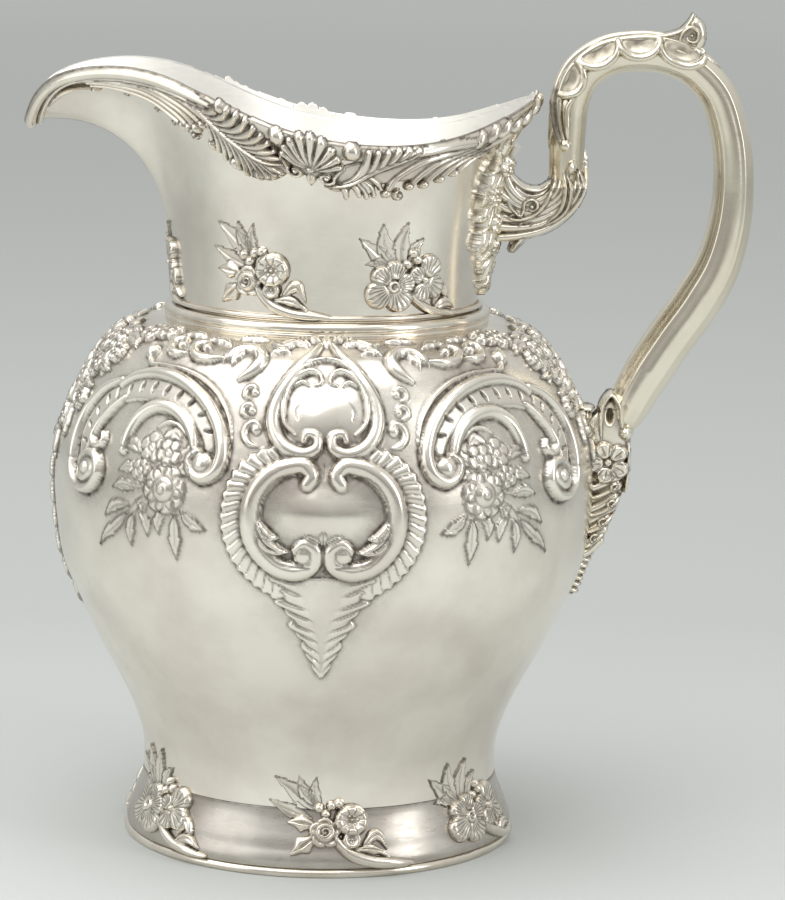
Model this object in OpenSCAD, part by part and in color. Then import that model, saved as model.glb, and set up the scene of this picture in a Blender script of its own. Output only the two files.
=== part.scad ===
// Footed water ewer of raised and chased silver: a baluster body with ornament beaten out
// of its sheet, a flared foot, a neck drawn out into a spout under a cast border, and a
// hollow scroll handle in two stampings.
// Millimetres, +Z up. The origin is on the vessel's axis at the surface that it stands on,
// the spout points to -X, the handle to +X, and the front cartouche faces -Y.

/* [Foot] */
// Diameter of the foot where it stands
foot_d = 120; // [108:1:136]
// Height of the seam between the foot and the body
foot_h = 19.5; // [15:0.5:26]
// Thickness of the wire round the lower edge of the foot
foot_wire_d = 2.8; // [2:0.2:5]

/* [Body] */
// Outer diameter of the waist, at the seam with the foot
waist_d = 108.4; // [98:1:118]
// Outer diameter of the widest part of the body
belly_d = 164; // [146:1:186]
// Height of the widest part of the body
belly_h = 112; // [98:1:126]
// Height of the seam between the body and the neck
shoulder_h = 159.3; // [148:0.5:176]
// Thickness of the raised sheet
wall = 1.1; // [0.8:0.1:1.8]
// Thickness of the base plate
base_t = 1.6; // [1:0.1:3]

/* [Body ornament] */
// Height of the scrolls above the body
relief_h = 1.9; // [1:0.1:3]
// Width of a scroll
scroll_w = 4.2; // [3:0.1:6]
// Width of the heart-shaped frame
heart_w = 35; // [28:1:42]
// Height of the heart-shaped frame
heart_h = 31; // [26:1:36]
// Width of the frame below the heart
frame_w = 41.4; // [34:1:48]
// Height of the frame below the heart
frame_h = 30; // [26:1:34]
// Width of the frilled border round the frame
frill_w = 60; // [52:1:66]
// Height of the frilled border round the frame
frill_h = 37; // [32:1:42]
// Length of the leaf that hangs below the frill
drop_leaf_l = 31; // [24:1:38]
// Width of the leaf that hangs below the frill
drop_leaf_w = 27; // [20:1:34]
// Width of a canopy of scrolls
canopy_w = 68.6; // [58:1:76]
// Height of a canopy of scrolls
canopy_h = 36.3; // [30:0.5:42]
// Size of a large blossom
bloom_d = 12; // [8:0.5:15]

/* [Neck and rim] */
// Outer diameter of the neck
neck_d = 90.8; // [82:0.5:100]
// Thickness of the wire at the foot of the neck
collar_wire_d = 3.8; // [2.5:0.1:5]
// Distance from the axis to the tip of the spout
spout_reach = 91; // [80:1:104]
// Height of the spout's tip above the shoulder seam
spout_tip_rise = 57.2; // [50:0.5:64]
// Height of the spout's crest above the shoulder seam
spout_crest_rise = 77.5; // [70:0.5:86]
// Radius of the rim at the sides
rim_side_r = 50; // [46:0.5:56]
// Height of the lowest part of the rim above the shoulder seam
rim_dip_rise = 53; // [48:0.5:58]
// Distance from the axis to the back of the rim
rim_back_reach = 60.5; // [54:0.5:66]
// Height of the back of the rim above the shoulder seam
rim_back_rise = 65.7; // [60:0.5:72]
// Width of the cast border
border_w = 12.5; // [9:0.5:15]
// Thickness of the cast border
border_t = 2.4; // [1.6:0.1:3.4]

/* [Handle] */
// Thickness of the handle's upper bow
handle_d = 10.8; // [9:0.2:13]
// Thickness of the handle at its outermost point
handle_elbow_d = 12.4; // [10:0.2:15]
// Thickness of the handle's lower arm
handle_arm_d = 14.8; // [11:0.2:17]
// Thickness of the handle where it enters the lower bracket
handle_end_d = 12.4; // [10:0.2:15]
// Thickness of the handle's wall
handle_wall = 1.2; // [0.8:0.1:2]
// Distance from the neck to the middle of the handle's upper end
upper_reach = 26.1; // [20:0.5:32]
// Height of the handle's upper end above the shoulder seam
upper_joint_rise = 47.7; // [42:0.5:54]
// Rise of the bow above the handle's upper end
bow_rise = 32.9; // [26:0.5:40]
// Reach of the bow beyond the handle's upper end
bow_reach = 50.3; // [42:0.5:58]
// Drop from the handle's upper end to the outermost point of the handle
elbow_drop = 3; // [0:0.5:8]
// Depth of the handle's lower end below the shoulder seam
lower_joint_drop = 32.3; // [26:0.5:38]
// Distance from the body to the middle of the handle's lower end
lower_reach = 11.4; // [9:0.2:14]
// Thickness of the leaf over the bow
leaf_t = 1.2; // [0.8:0.1:2]
// Height of the thumb scroll above the bow's middle line
thumb_rise = 12; // [10:0.2:15]

/* [Sockets] */
// Drop from the handle's upper end to the middle of its seat
upper_drop = 14.5; // [11:0.5:18]
// Height of the plate behind the upper socket
backplate_h = 39; // [30:0.5:42]
// Width of the plate behind the upper socket
backplate_w = 27; // [20:0.5:30]
// Thickness of the plate behind the upper socket
backplate_t = 2; // [1.2:0.1:3]
// Length of the lower bracket below the handle's end
bracket_l = 51; // [42:0.5:58]
// Width of the lower bracket
bracket_w = 15; // [12.6:0.2:18]
// Height of the curl of the lower bracket above the handle's end
curl_h = 10; // [6:0.5:13]
// Size of the blossom on each side of the lower bracket
rosette_d = 11; // [8:0.5:13]

/* [Sprays] */
// Width of a flower spray on the neck
neck_spray_w = 31; // [24:0.5:36]
// Height of a flower spray on the neck
neck_spray_h = 25; // [18:0.5:28]
// Width of a flower spray on the foot
foot_spray_w = 32; // [24:0.5:38]
// Height of a flower spray on the foot
foot_spray_h = 24; // [18:0.5:28]
// Thickness of a flower spray
spray_t = 2.2; // [1.6:0.1:3]
// Solder space between two pieces
solder_gap = 0.15; // [0.05:0.05:0.3]

/* [Hidden] */

sheet_colour = "#d6d2c8";
cast_colour = "#c9c2b2";
handle_colour = "#d2cbb6";
$fn = 96;
body_facets = 60;
bead_sides = 4;

// Radii and heights that follow from the driving sizes
foot_r = foot_d / 2;
waist_r = waist_d / 2;
belly_r = belly_d / 2;
neck_r = neck_d / 2;
seam_r = neck_r - wall;
neck_foot_h = shoulder_h + solder_gap;
upper_joint_h = shoulder_h + upper_joint_rise;
lower_joint_h = shoulder_h - lower_joint_drop;
spout_droop = spout_crest_rise - spout_tip_rise;

// Outline of the foot, as shares of its height and of its spread from the waist
foot_flare_shares = [
    [0, 1], [0.12, 1], [0.22, 0.9], [0.3, 0.77], [0.47, 0.6], [0.68, 0.3], [0.86, 0.08], [1, 0]
];
// Flat that is filed on the underside of the foot's wire, as a share of its thickness
foot_flat_share = 0.12;
// Outline of the body below and above its widest ring, as shares of each height and spread
lower_body_shares = [
    [0, 0], [0.1, 0.005], [0.2, 0.1], [0.33, 0.3], [0.45, 0.515], [0.58, 0.715], [0.7, 0.89], [0.85, 0.975]
];
upper_body_shares = [
    [0, 1], [0.207, 0.966], [0.36, 0.9], [0.516, 0.814], [0.68, 0.708], [0.803, 0.602],
    [0.9, 0.47], [0.958, 0.324], [0.987, 0.178], [1, 0]
];

// Spread in degrees of the forms round the rim
spout_spread_angle = 16.7;
slope_spread_angle = 18;
droop_spread_angle = 5.8;
crest_spread_angle = 64;
crest_power = 2.6;
back_spread_angle = 32;
back_rise_spread_angle = 36;
// Slope in degrees of the wall at the rim
side_slope_angle = 72;
spout_slope_angle = -10;
back_slope_angle = 65;
// Length over which the wall turns out to that slope
side_turn = 12;
spout_turn = 25;
// Share of the neck's height that is drawn straight up
straight_share = 0.85;
// Rings of the neck, as shares of its outline from the seam to the rim
neck_ring_shares = [0, 0.16, 0.32, 0.46, 0.58, 0.69, 0.8, 0.9, 1];
neck_turns = 30;
turn_power = 1.5;
neck_reach_share = 0.8;
search_steps = 16;

// A point on a smooth curve through the points p, between points i and i + 1
function curve_point(p, i, t) = let (
    b = p[i],
    c = p[i + 1],
    a = i > 0 ? p[i - 1] : 2 * b - c,
    d = i + 2 < len(p) ? p[i + 2] : 2 * c - b
) (2 * b + (c - a) * t + (2 * a - 5 * b + 4 * c - d) * t * t + (3 * b - a - 3 * c + d) * t * t * t) / 2;
function curve(p, steps) = concat(
    [for (i = [0:len(p) - 2], k = [0:steps - 1]) curve_point(p, i, k / steps)],
    [p[len(p) - 1]]
);
function unit(v) = v / norm(v);
function reversed(p) = [for (i = [len(p) - 1:-1:0]) p[i]];
function mixed(from, to, shares) = [for (s = shares) from + [for (i = [0:1]) (to - from)[i] * s[i]]];
function step_length(p, i) = i + 1 < len(p) ? norm(p[i + 1] - p[i]) : 0;
function running_length(p) = [
    for (i = 0, run = 0; i < len(p); run = run + step_length(p, i), i = i + 1) run
];
function column(keys, p, i) = [for (k = [0:len(p) - 1]) [keys[k], p[k][i]]];
function turned(a) = a - 360 * round(a / 360);
function degrees_of(arc, radius) = arc / radius * 180 / PI;
function arc_of(angle, radius) = angle * PI / 180 * radius;

// Closed solid from rings that follow each other, its ends closed across
function wall_faces(n, m, closed) = [
    for (i = [0:n - (closed ? 1 : 2)], j = [0:m - 1])
        let (near = i * m, far = ((i + 1) % n) * m, k = (j + 1) % m)
            each [[near + j, far + k, near + k], [near + j, far + j, far + k]]
];
function end_faces(m) = [
    for (i = [0:ceil(m / 2) - 2])
        each concat([[i, i + 1, m - 1 - i]], i + 1 < m - 2 - i ? [[i + 1, m - 2 - i, m - 1 - i]] : [])
];
module ring_solid(rings) {
    n = len(rings);
    m = len(rings[0]);
    far_end = [for (f = end_faces(m)) [for (k = [2:-1:0]) f[k] + (n - 1) * m]];
    faces = concat(wall_faces(n, m, false), end_faces(m), far_end);
    polyhedron(points = [for (r = rings) each r], faces = faces);
}
// Closed solid from rings whose last one joins the first, as in a tube's wall
module loop_solid(rings) {
    polyhedron(points = [for (r = rings) each r], faces = wall_faces(len(rings), len(rings[0]), true));
}

// Body outline from the foot seam to the neck seam, and places on it
body_points = concat(
    mixed([foot_h + solder_gap, waist_r], [belly_h, belly_r], lower_body_shares),
    mixed([belly_h, seam_r], [shoulder_h, belly_r], upper_body_shares)
);
body_outline = [for (p = body_points) [p.y, p.x]];
body_run = running_length(body_outline);
belly_run = lookup(belly_h, [for (i = [0:len(body_run) - 1]) [body_outline[i].y, body_run[i]]]);
body_heights = [for (s = body_run) s - belly_run];
shoulder_run = body_heights[len(body_heights) - 1];
radius_at_run = column(body_heights, body_outline, 0);
height_at_run = column(body_heights, body_outline, 1);
radius_at_height = [for (p = body_outline) [p.y, p.x]];
run_step = wall / 2;
function body_r(z) = lookup(z, radius_at_height);
// Place on the body at u round its widest ring and v along its outline, raised by h
function body_on(u, v, h) = let (
    phi = degrees_of(u, belly_r),
    r = lookup(v, radius_at_run),
    z = lookup(v, height_at_run),
    dr = lookup(v + run_step, radius_at_run) - lookup(v - run_step, radius_at_run),
    dz = lookup(v + run_step, height_at_run) - lookup(v - run_step, height_at_run),
    n = unit([dz, -dr])
) [(r + h * n.x) * sin(phi), -(r + h * n.x) * cos(phi), z + h * n.y];

// Foot outline, from its wire to the seam
foot_wire_h = foot_wire_d * (1 - foot_flat_share);
foot_edge_r = foot_r - foot_wire_d / 2 + wall / 2;
foot_points = mixed([foot_wire_h + solder_gap, waist_r], [foot_h, foot_edge_r], foot_flare_shares);
foot_curve = curve([for (p = foot_points) [p.y, p.x]], 2);
radius_at_foot_height = [for (p = foot_curve) [p.y, p.x]];
function skirt_r(z) = z < foot_h ? lookup(z, radius_at_foot_height) : body_r(z);
// Place on the foot and the lowest part of the body, u round it and z up it, raised by h
function skirt_on(phi, u, z, h) = let (
    a = phi + degrees_of(u, foot_r),
    n = unit([2 * run_step, skirt_r(z - run_step) - skirt_r(z + run_step)]),
    r = skirt_r(z) + h * n.x
) [r * sin(a), -r * cos(a), z + h * n.y];

// Rim and neck, at the angle a from the spout, negative towards the front
function spout_bell(a, spread) = 1 / (1 + pow(a / spread, 2));
function back_bell(a, spread) = exp(-pow((180 - abs(a)) / spread, 2));
function rim_r(a) = rim_side_r + (spout_reach - rim_side_r) * spout_bell(a, spout_spread_angle)
    + (rim_back_reach - rim_side_r) * back_bell(a, back_spread_angle);
function rim_h(a) = shoulder_h + rim_dip_rise
    + (spout_crest_rise - rim_dip_rise) * exp(-pow(abs(a) / crest_spread_angle, crest_power))
    - spout_droop * spout_bell(a, droop_spread_angle)
    + (rim_back_rise - rim_dip_rise) * back_bell(a, back_rise_spread_angle);
function rim_slope(a) = side_slope_angle
    + (spout_slope_angle - side_slope_angle) * spout_bell(a, slope_spread_angle)
    + (back_slope_angle - side_slope_angle) * back_bell(a, back_spread_angle);
function rim_turn(a) = side_turn + (spout_turn - side_turn) * spout_bell(a, slope_spread_angle);
function neck_rz(a, t) = let (
    s = 1 - t,
    rim = [rim_r(a), rim_h(a)],
    seam = [neck_r, neck_foot_h],
    rise = [neck_r, neck_foot_h + straight_share * (rim.y - neck_foot_h)],
    turn = rim - rim_turn(a) * [cos(rim_slope(a)), sin(rim_slope(a))]
) s * s * s * seam + 3 * s * s * t * rise + 3 * s * t * t * turn + t * t * t * rim;
function neck_point(a, t) = let (p = neck_rz(a, t)) [-p.x * cos(a), p.x * sin(a), p.y];
angle_step = 0.2;
share_step = 0.002;
function neck_on(a, t, h) = let (
    across = neck_point(a + angle_step, t) - neck_point(a - angle_step, t),
    along = neck_point(a, t + share_step) - neck_point(a, t - share_step)
) neck_point(a, t) + h * unit(cross(along, across));
// Place at the distance d below the rim's edge, raised by h
function rim_on(a, d, h) = neck_on(a, 1 - d / (3 * rim_turn(a)), h);
// Share of the neck's outline at the height z, found by halving
function share_at(a, z, low = 0, high = neck_reach_share, n = search_steps) = let (
    mid = (low + high) / 2,
    below = neck_rz(a, mid).y < z
) n == 0 ? mid : share_at(a, z, below ? mid : low, below ? high : mid, n - 1);
// Place on the neck at u round it from the angle phi, at the height z, raised by h
function neck_side_on(phi, u, z, h) = let (a = turned(-(phi + 90 + degrees_of(u, neck_r))))
    neck_on(a, share_at(a, z), h);
// Distance from the axis to the back of the neck at the height z, y away from the middle plane
function neck_back_x(y, z) = let (r = neck_rz(180, share_at(180, z)).x) sqrt(r * r - y * y);

// Middle line of the handle, from its upper end over the bow to its lower end, as x and z
upper_joint_x = neck_r + upper_reach;
lower_joint_x = body_r(lower_joint_h) + lower_reach;
elbow = [upper_joint_x + bow_reach, upper_joint_h - elbow_drop];
bow_top_h = upper_joint_h + bow_rise;
bow_shares = [
    [0, 0.36], [0.015, 0.585], [0.08, 0.81], [0.21, 0.95], [0.37, 1], [0.55, 0.99],
    [0.735, 0.89], [0.875, 0.7], [0.965, 0.375], [1, 0]
];
arm_shares = [
    [0.975, 0.805], [0.865, 0.635], [0.68, 0.495], [0.43, 0.345], [0.24, 0.22], [0.09, 0.105], [0, 0]
];
handle_line = curve(concat(
    [[upper_joint_x, upper_joint_h]],
    mixed([upper_joint_x, elbow.y], [elbow.x, bow_top_h], bow_shares),
    mixed([lower_joint_x, lower_joint_h], elbow, arm_shares)
), 2);
handle_rings = len(handle_line);
// Half thickness along the handle, as shares of its length
bow_end_share = 0.38;
elbow_share = 0.58;
arm_from_share = 0.75;
arm_to_share = 0.9;
function handle_r(t) = lookup(t, [
    [0, handle_d / 2], [bow_end_share, handle_d / 2], [elbow_share, handle_elbow_d / 2],
    [arm_from_share, handle_arm_d / 2], [arm_to_share, handle_arm_d / 2], [1, handle_end_d / 2]
]);
// The section is a rounded lozenge, with a ridge along each side
ridge_power = 1.75;
function lozenge(psi) = pow(abs(cos(psi)), ridge_power) + pow(abs(sin(psi)), ridge_power);
function section_r(r, psi) = r / pow(lozenge(psi), 1 / ridge_power);
function line_tangent(p, i) = i == 0 ? [0, 1] : i == len(p) - 1 ? [0, -1] : unit(p[i + 1] - p[i - 1]);
function line_normal(p, i) = let (t = line_tangent(p, i)) [-t.y, t.x];
// Place on the handle at ring i, psi round it from its outer side, raised by h
function handle_on(i, psi, h) = let (
    c = handle_line[i],
    n = line_normal(handle_line, i),
    r = section_r(handle_r(i / (handle_rings - 1)), psi) + h
) [c.x + r * cos(psi) * n.x, r * sin(psi), c.y + r * cos(psi) * n.y];

// Raised scroll along a path of [u, v] points on the body, sunk into the sheet
section_shares = [[-1, 0], [-0.5, 1], [0.5, 1], [1, 0], [0, 0]];
sink_share = 0.75;
sink = wall * sink_share;
function relief(share, height) = share > 0 ? share * height : -sink;
function path_side(p, i) = let (t = unit(p[min(i + 1, len(p) - 1)] - p[max(i - 1, 0)])) [-t.y, t.x];
function swell(t, ends) = ends + (1 - ends) * sin(180 * t);
scroll_end_share = 0.5;
hood_end_share = 0.7;
hood_steps = 2;
module scroll(points, width, height, ends = scroll_end_share, steps = 1) {
    p = curve(points, steps);
    ring_solid([
        for (i = [0:len(p) - 1])
            let (n = path_side(p, i), k = swell(i / (len(p) - 1), ends))
                [for (s = reversed(section_shares)) let (o = s.x * k * width / 2)
                    body_on(p[i].x + n.x * o, p[i].y + n.y * o, relief(s.y, k * height))]
    ]);
}
module bead(p, d) {
    translate(p) sphere(d = d, $fn = bead_sides);
}
petals = 5;
spray_petals = 4;
petal_root_share = 0.2;
petal_mid_share = 0.62;
petal_d_share = 0.42;
petal_lift_share = 0.35;
heart_d_share = 0.36;

// One frame of the cartouche, drawn for one side and mirrored
heart_shares = [
    [0.34, 1], [0.66, 0.72], [0.96, 0.5], [1, 0.3], [0.87, 0.11], [0.57, 0],
    [0.27, 0.03], [0.12, 0.14], [0.26, 0.24]
];
frame_shares = [
    [0.1, 1], [0.34, 0.98], [0.69, 0.85], [0.95, 0.63], [1, 0.41], [0.88, 0.18],
    [0.58, 0.04], [0.3, 0.02], [0.12, 0.13], [0.26, 0.25]
];
frill_shares = [
    [0.62, 1], [0.78, 0.97], [0.92, 0.885], [0.98, 0.77], [0.99, 0.57], [0.96, 0.38], [0.85, 0.176],
    [0.66, 0], [0.44, -0.1]
];
canopy_hood_shares = [
    [-0.3, 0.95], [-0.08, 0.99], [0.2, 1], [0.55, 0.89], [0.77, 0.75], [0.9, 0.58], [0.95, 0.39],
    [0.9, 0.275], [0.79, 0.225], [0.69, 0.3], [0.68, 0.4], [0.78, 0.44]
];
canopy_arm_shares = [
    [-0.5, 0.98], [-0.72, 0.866], [-0.93, 0.66], [-0.98, 0.48], [-0.94, 0.3], [-0.82, 0.1],
    [-0.6, 0], [-0.5, 0.14], [-0.62, 0.22]
];
canopy_inner_shares = [[-0.42, 0.36], [-0.36, 0.62], [-0.1, 0.78], [0.2, 0.8], [0.5, 0.7], [0.62, 0.5]];
drop_leaf_width_shares = [1, 0.95, 0.72, 0.5, 0.28, 0.06];
// The ornament hangs from the seam with the neck: drops along the body's outline
heart_drop = 16.7;
frame_drop = 5;
frill_drop = 4;
canopy_drop = 28.4;
heart_foot_v = shoulder_run - heart_drop - heart_h;
frame_foot_v = heart_foot_v - frame_drop - frame_h;
frill_foot_v = frame_foot_v - frill_drop;
canopy_foot_v = shoulder_run - canopy_drop - canopy_h;
canopy_angle = 45;
frill_w_share = 0.9;
inner_w_share = 0.7;
flat_relief_share = 0.6;
bloom_offset_share = 0.38;
bloom_rise_share = 0.1;

module cartouche() {
    function at(shares, side, w, foot_v, h) = [for (s = shares) [side * s.x * w / 2, foot_v + s.y * h]];
    for (side = [-1, 1]) {
        scroll(at(heart_shares, side, heart_w, heart_foot_v, heart_h), scroll_w, relief_h);
        scroll(at(frame_shares, side, frame_w, frame_foot_v, frame_h), scroll_w, relief_h);
        scroll(at(frill_shares, side, frill_w, frill_foot_v, frill_h),
            frill_w_share * scroll_w, flat_relief_share * relief_h, 1);
    }
    drop_leaf();
}
module drop_leaf() {
    n = len(drop_leaf_width_shares) - 1;
    ring_solid([
        for (i = [n:-1:0]) [
            for (s = section_shares)
                body_on(
                    s.x * drop_leaf_width_shares[i] * drop_leaf_w / 2,
                    frill_foot_v - i / n * drop_leaf_l,
                    relief(s.y, flat_relief_share * relief_h)
                )
        ]
    ]);
}
module canopy(side, phi) {
    mid = arc_of(phi, belly_r);
    function at(s) = [mid + side * s.x * canopy_w / 2, canopy_foot_v + s.y * canopy_h];
    scroll([for (s = canopy_hood_shares) at(s)], scroll_w, relief_h, hood_end_share, hood_steps);
    scroll([for (s = canopy_arm_shares) at(s)], scroll_w, relief_h, hood_end_share);
    scroll([for (s = canopy_inner_shares) at(s)], inner_w_share * scroll_w, flat_relief_share * relief_h);
    body_bloom(at([bloom_offset_share, bloom_rise_share]), bloom_d);
}
bead_half_share = 0.28;
module body_bead(p, d) {
    bead(body_on(p.x, p.y, bead_half_share * d - sink), d);
}
module body_bloom(p, d) {
    body_bead(p, petal_mid_share * d);
    for (k = [0:petals - 1])
        hull() {
            spoke = d / 2 * [cos(360 * k / petals), sin(360 * k / petals)];
            body_bead(p + petal_root_share * spoke, petal_d_share * d);
            body_bead(p + petal_mid_share * spoke, petal_d_share * d);
        }
}
// Blossoms of a garland, as shares of its half width and of its height
garland_shares = [
    [0, 0.06], [-0.38, 0.2], [0.4, 0.24], [0, 0.38], [-0.7, 0.5], [0.7, 0.5],
    [-0.3, 0.66], [0.34, 0.68], [0, 0.92]
];
garland_w = 52;
garland_h = 38;
garland_drop = 12.7;
garland_foot_v = shoulder_run - garland_drop - garland_h;
garland_bloom_share = 0.8;
garland_angle = 90;
module garland(phi) {
    mid = arc_of(phi, belly_r);
    for (s = garland_shares)
        hull() {
            p = [mid + s.x * garland_w / 2, garland_foot_v + s.y * garland_h];
            d = garland_bloom_share * bloom_d;
            for (k = [-1, 1]) body_bead(p + [k * petal_root_share * d, 0], petal_mid_share * d);
        }
}

// Leaf curls between the heart and a garland, as shares of their run round the shoulder and of their height
shoulder_curl_shares = [
    [[0.09, 0], [0.01, 0.32], [0.05, 0.67], [0.19, 0.75], [0.29, 0.44]],
    [[0.5, 0.4], [0.48, 0.7], [0.6, 0.92], [0.75, 0.8], [0.7, 0.5]],
    [[0.83, 0.5], [0.86, 0.94], [1, 0.84]]
];
shoulder_curl_gap = 24;
shoulder_curl_run = 44;
shoulder_curl_h = 15;
shoulder_curl_drop = 12.2;
shoulder_curl_w_share = 0.8;
module shoulder_curls(side) {
    foot_v = shoulder_run - shoulder_curl_drop - shoulder_curl_h;
    for (shares = shoulder_curl_shares)
        scroll(
            [for (s = shares) [
                side * (shoulder_curl_gap + s.x * shoulder_curl_run), foot_v + s.y * shoulder_curl_h
            ]],
            shoulder_curl_w_share * scroll_w, relief_h
        );
}

// Body with its ornament, one sheet
function wall_in(p, i) = p[i] + wall * path_side(p, i);
inner_rings = [for (i = [len(body_outline) - 1:-1:0]) wall_in(body_outline, i)];
module body_shell() {
    color(sheet_colour) union() {
        rotate_extrude($fn = body_facets) polygon(concat(body_outline, inner_rings));
        for (turn = [0, 180]) rotate([0, 0, turn]) {
            cartouche();
            canopy(1, -canopy_angle);
            canopy(-1, canopy_angle);
            shoulder_curls(-1);
            shoulder_curls(1);
            garland(garland_angle);
        }
    }
}
module base_plate() {
    color(sheet_colour) translate([0, 0, foot_h + solder_gap])
        cylinder(r = waist_r - wall - solder_gap, h = base_t);
}
module foot() {
    color(sheet_colour) rotate_extrude()
        polygon(concat(foot_curve, [for (p = reversed(foot_curve)) p - [wall, 0]]));
}
module foot_rim() {
    color(cast_colour) rotate_extrude() intersection() {
        translate([foot_r - foot_wire_d / 2, foot_wire_h - foot_wire_d / 2]) circle(d = foot_wire_d);
        translate([foot_r - foot_wire_d, 0]) square([foot_wire_d, foot_wire_d]);
    }
}
module collar_ring() {
    color(cast_colour) rotate_extrude()
        translate([neck_r + solder_gap + collar_wire_d / 2, shoulder_h + solder_gap + collar_wire_d / 2])
            circle(d = collar_wire_d);
}
neck_half = [for (k = [0:neck_turns]) 180 * pow(k / neck_turns, turn_power)];
neck_angles = concat(
    [for (k = [neck_turns:-1:1]) -neck_half[k]],
    [for (k = [0:neck_turns - 1]) neck_half[k]]
);
module neck_shell() {
    color(sheet_colour) loop_solid(concat(
        [for (t = neck_ring_shares) [for (a = neck_angles) neck_on(a, t, -wall)]],
        [for (t = reversed(neck_ring_shares)) [for (a = neck_angles) neck_on(a, t, 0)]]
    ));
}

// Cast border round the rim: a band whose edge and flutes follow its lobes
band_section_shares = [[0, 0], [0, 0.7], [0.3, 1], [1, 0.3], [1, 0]];
lobe_share = 0.3;
flute_share = 0.35;
band_step_angle = 2;
joint_angle = 0.3;
// The band runs from the angle high down to the angle low
module border_band(high, low, lobes, ends) {
    n = round((high - low) / band_step_angle);
    ring_solid([
        for (i = [0:n])
            let (
                t = i / n,
                a = high + (low - high) * t,
                wave = abs(sin(180 * lobes * t)),
                w = border_w * (1 - lobe_share + lobe_share * wave) * swell(t, ends),
                h = border_t * (1 - flute_share + flute_share * wave)
            ) [for (s = band_section_shares) rim_on(a, s.x * w, solder_gap + s.y * h)]
    ]);
}
// The same band on one side of the spout, between two angles from it
module side_band(side, near, far) {
    high = side > 0 ? far : -near;
    low = side > 0 ? near : -far;
    border_band(high, low, leaf_lobes, leaf_end_share);
}
lip_half_angle = 18;
shell_from_angle = 77;
shell_to_angle = 92;
leaf_to_angle = 156;
leaf_lobes = 7;
crest_lobes = 5;
leaf_end_share = 0.55;
module spout_lip() {
    color(cast_colour) border_band(lip_half_angle, -lip_half_angle, 1, leaf_end_share);
}
module spout_leaf(side) {
    color(cast_colour) side_band(side, lip_half_angle + joint_angle, shell_from_angle - joint_angle);
}
module rim_leaf(side) {
    color(cast_colour) side_band(side, shell_to_angle + joint_angle, leaf_to_angle - joint_angle);
}
module rim_crest() {
    color(cast_colour) border_band(360 - leaf_to_angle, leaf_to_angle, crest_lobes, 1);
}
// Fan of ribs from a boss at the foot of the shell
shell_ribs = 7;
rib_root_share = 0.8;
rib_d_share = 0.7;
boss_d_share = 0.45;
fan_half_angle = 74;
module rim_shell(side) {
    mid = (shell_from_angle + shell_to_angle) / 2;
    rib_d = rib_d_share * border_t;
    half = arc_of((shell_to_angle - shell_from_angle) / 2 - 2 * joint_angle, rim_r(mid)) - rib_d / 2;
    color(cast_colour) union() {
        for (k = [0:shell_ribs - 1])
            hull() {
                fan = fan_half_angle * (2 * k / (shell_ribs - 1) - 1);
                tip_a = mid + degrees_of(half * sin(fan) / sin(fan_half_angle), rim_r(mid));
                tip_d = rib_root_share * border_w * (1 - cos(fan));
                bead(rim_on(side * mid, rib_root_share * border_w, solder_gap + rib_d / 2), rib_d);
                bead(rim_on(side * tip_a, tip_d, solder_gap + rib_d / 2), rib_d);
            }
        hull() {
            boss_d = boss_d_share * border_t * 2;
            bead(rim_on(side * mid, rib_root_share * border_w, solder_gap + boss_d / 2), boss_d);
            bead(rim_on(side * mid, border_w, solder_gap + boss_d / 2), boss_d);
        }
    }
}

// Half of the hollow handle: the outer skin and the bore, cut on the middle plane
half_steps = 6;
module handle_half(side) {
    color(handle_colour) translate([0, side * solder_gap / 2, 0]) ring_solid([
        for (i = [0:handle_rings - 1]) let (
            out = [for (k = [0:half_steps]) handle_on(i, side * 180 * k / half_steps, 0)],
            inn = [for (k = [half_steps:-1:0]) handle_on(i, side * 180 * k / half_steps, -handle_wall)]
        ) side < 0 ? concat(out, inn) : concat(reversed(out), reversed(inn))
    ]);
}
// Leaf over the bow, with lobes down both sides
leaf_from_ring = 1;
leaf_to_ring = 12;
leaf_half_angle = 62;
leaf_lobe_share = 0.35;
leaf_side_lobes = 4;
leaf_steps = 3;
leaf_edge_share = 0.4;
module handle_leaf() {
    n = leaf_to_ring - leaf_from_ring;
    color(handle_colour)
        ring_solid([
            for (i = [leaf_to_ring:-1:leaf_from_ring]) let (
                t = (i - leaf_from_ring) / n,
                taper = min(1, leaf_edge_share + t),
                lobe = 1 - leaf_lobe_share * abs(cos(180 * leaf_side_lobes * t)),
                half = leaf_half_angle * lobe * taper,
                fall = leaf_t * taper * (1 - leaf_edge_share)
            ) concat(
                [for (k = [-leaf_steps:leaf_steps]) handle_on(i, half * k / leaf_steps,
                    solder_gap + leaf_t * taper - fall * abs(k) / leaf_steps)],
                [for (k = [leaf_steps:-1:-leaf_steps]) handle_on(i, half * k / leaf_steps, solder_gap)]
            )
        ]);
}
// Thumb scroll at the leaf's end: its top, from the leaf round the tip to the back,
// as shares of its length and rise
thumb_shares = [
    [0, 0.45], [0.3, 0.5], [0.5, 0.62], [0.62, 0.85], [0.72, 1], [0.84, 0.92],
    [0.96, 0.68], [1.02, 0.35], [0.99, 0.1]
];
thumb_rings = 2;
thumb_step = 2;
thumb_w_share = 0.58;
module thumb_scroll() {
    floor_points = [for (i = [0:thumb_rings]) handle_on(leaf_to_ring + i, 0, solder_gap)];
    floor_line = [for (p = floor_points) [p.x, p.z]];
    from = floor_line[0] + [solder_gap, 0];
    span = floor_line[thumb_rings].x - from.x;
    low = floor_line[thumb_rings].y;
    tip = handle_line[leaf_to_ring].y + thumb_rise;
    top_line = curve([for (s = thumb_shares) [from.x + s.x * span, low + s.y * (tip - low)]], thumb_step);
    color(handle_colour) translate([0, thumb_w_share * handle_d / 2, 0]) rotate([90, 0, 0])
        linear_extrude(height = thumb_w_share * handle_d)
            polygon(concat([from], top_line, reversed([for (i = [1:thumb_rings]) floor_line[i]])));
}

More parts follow.
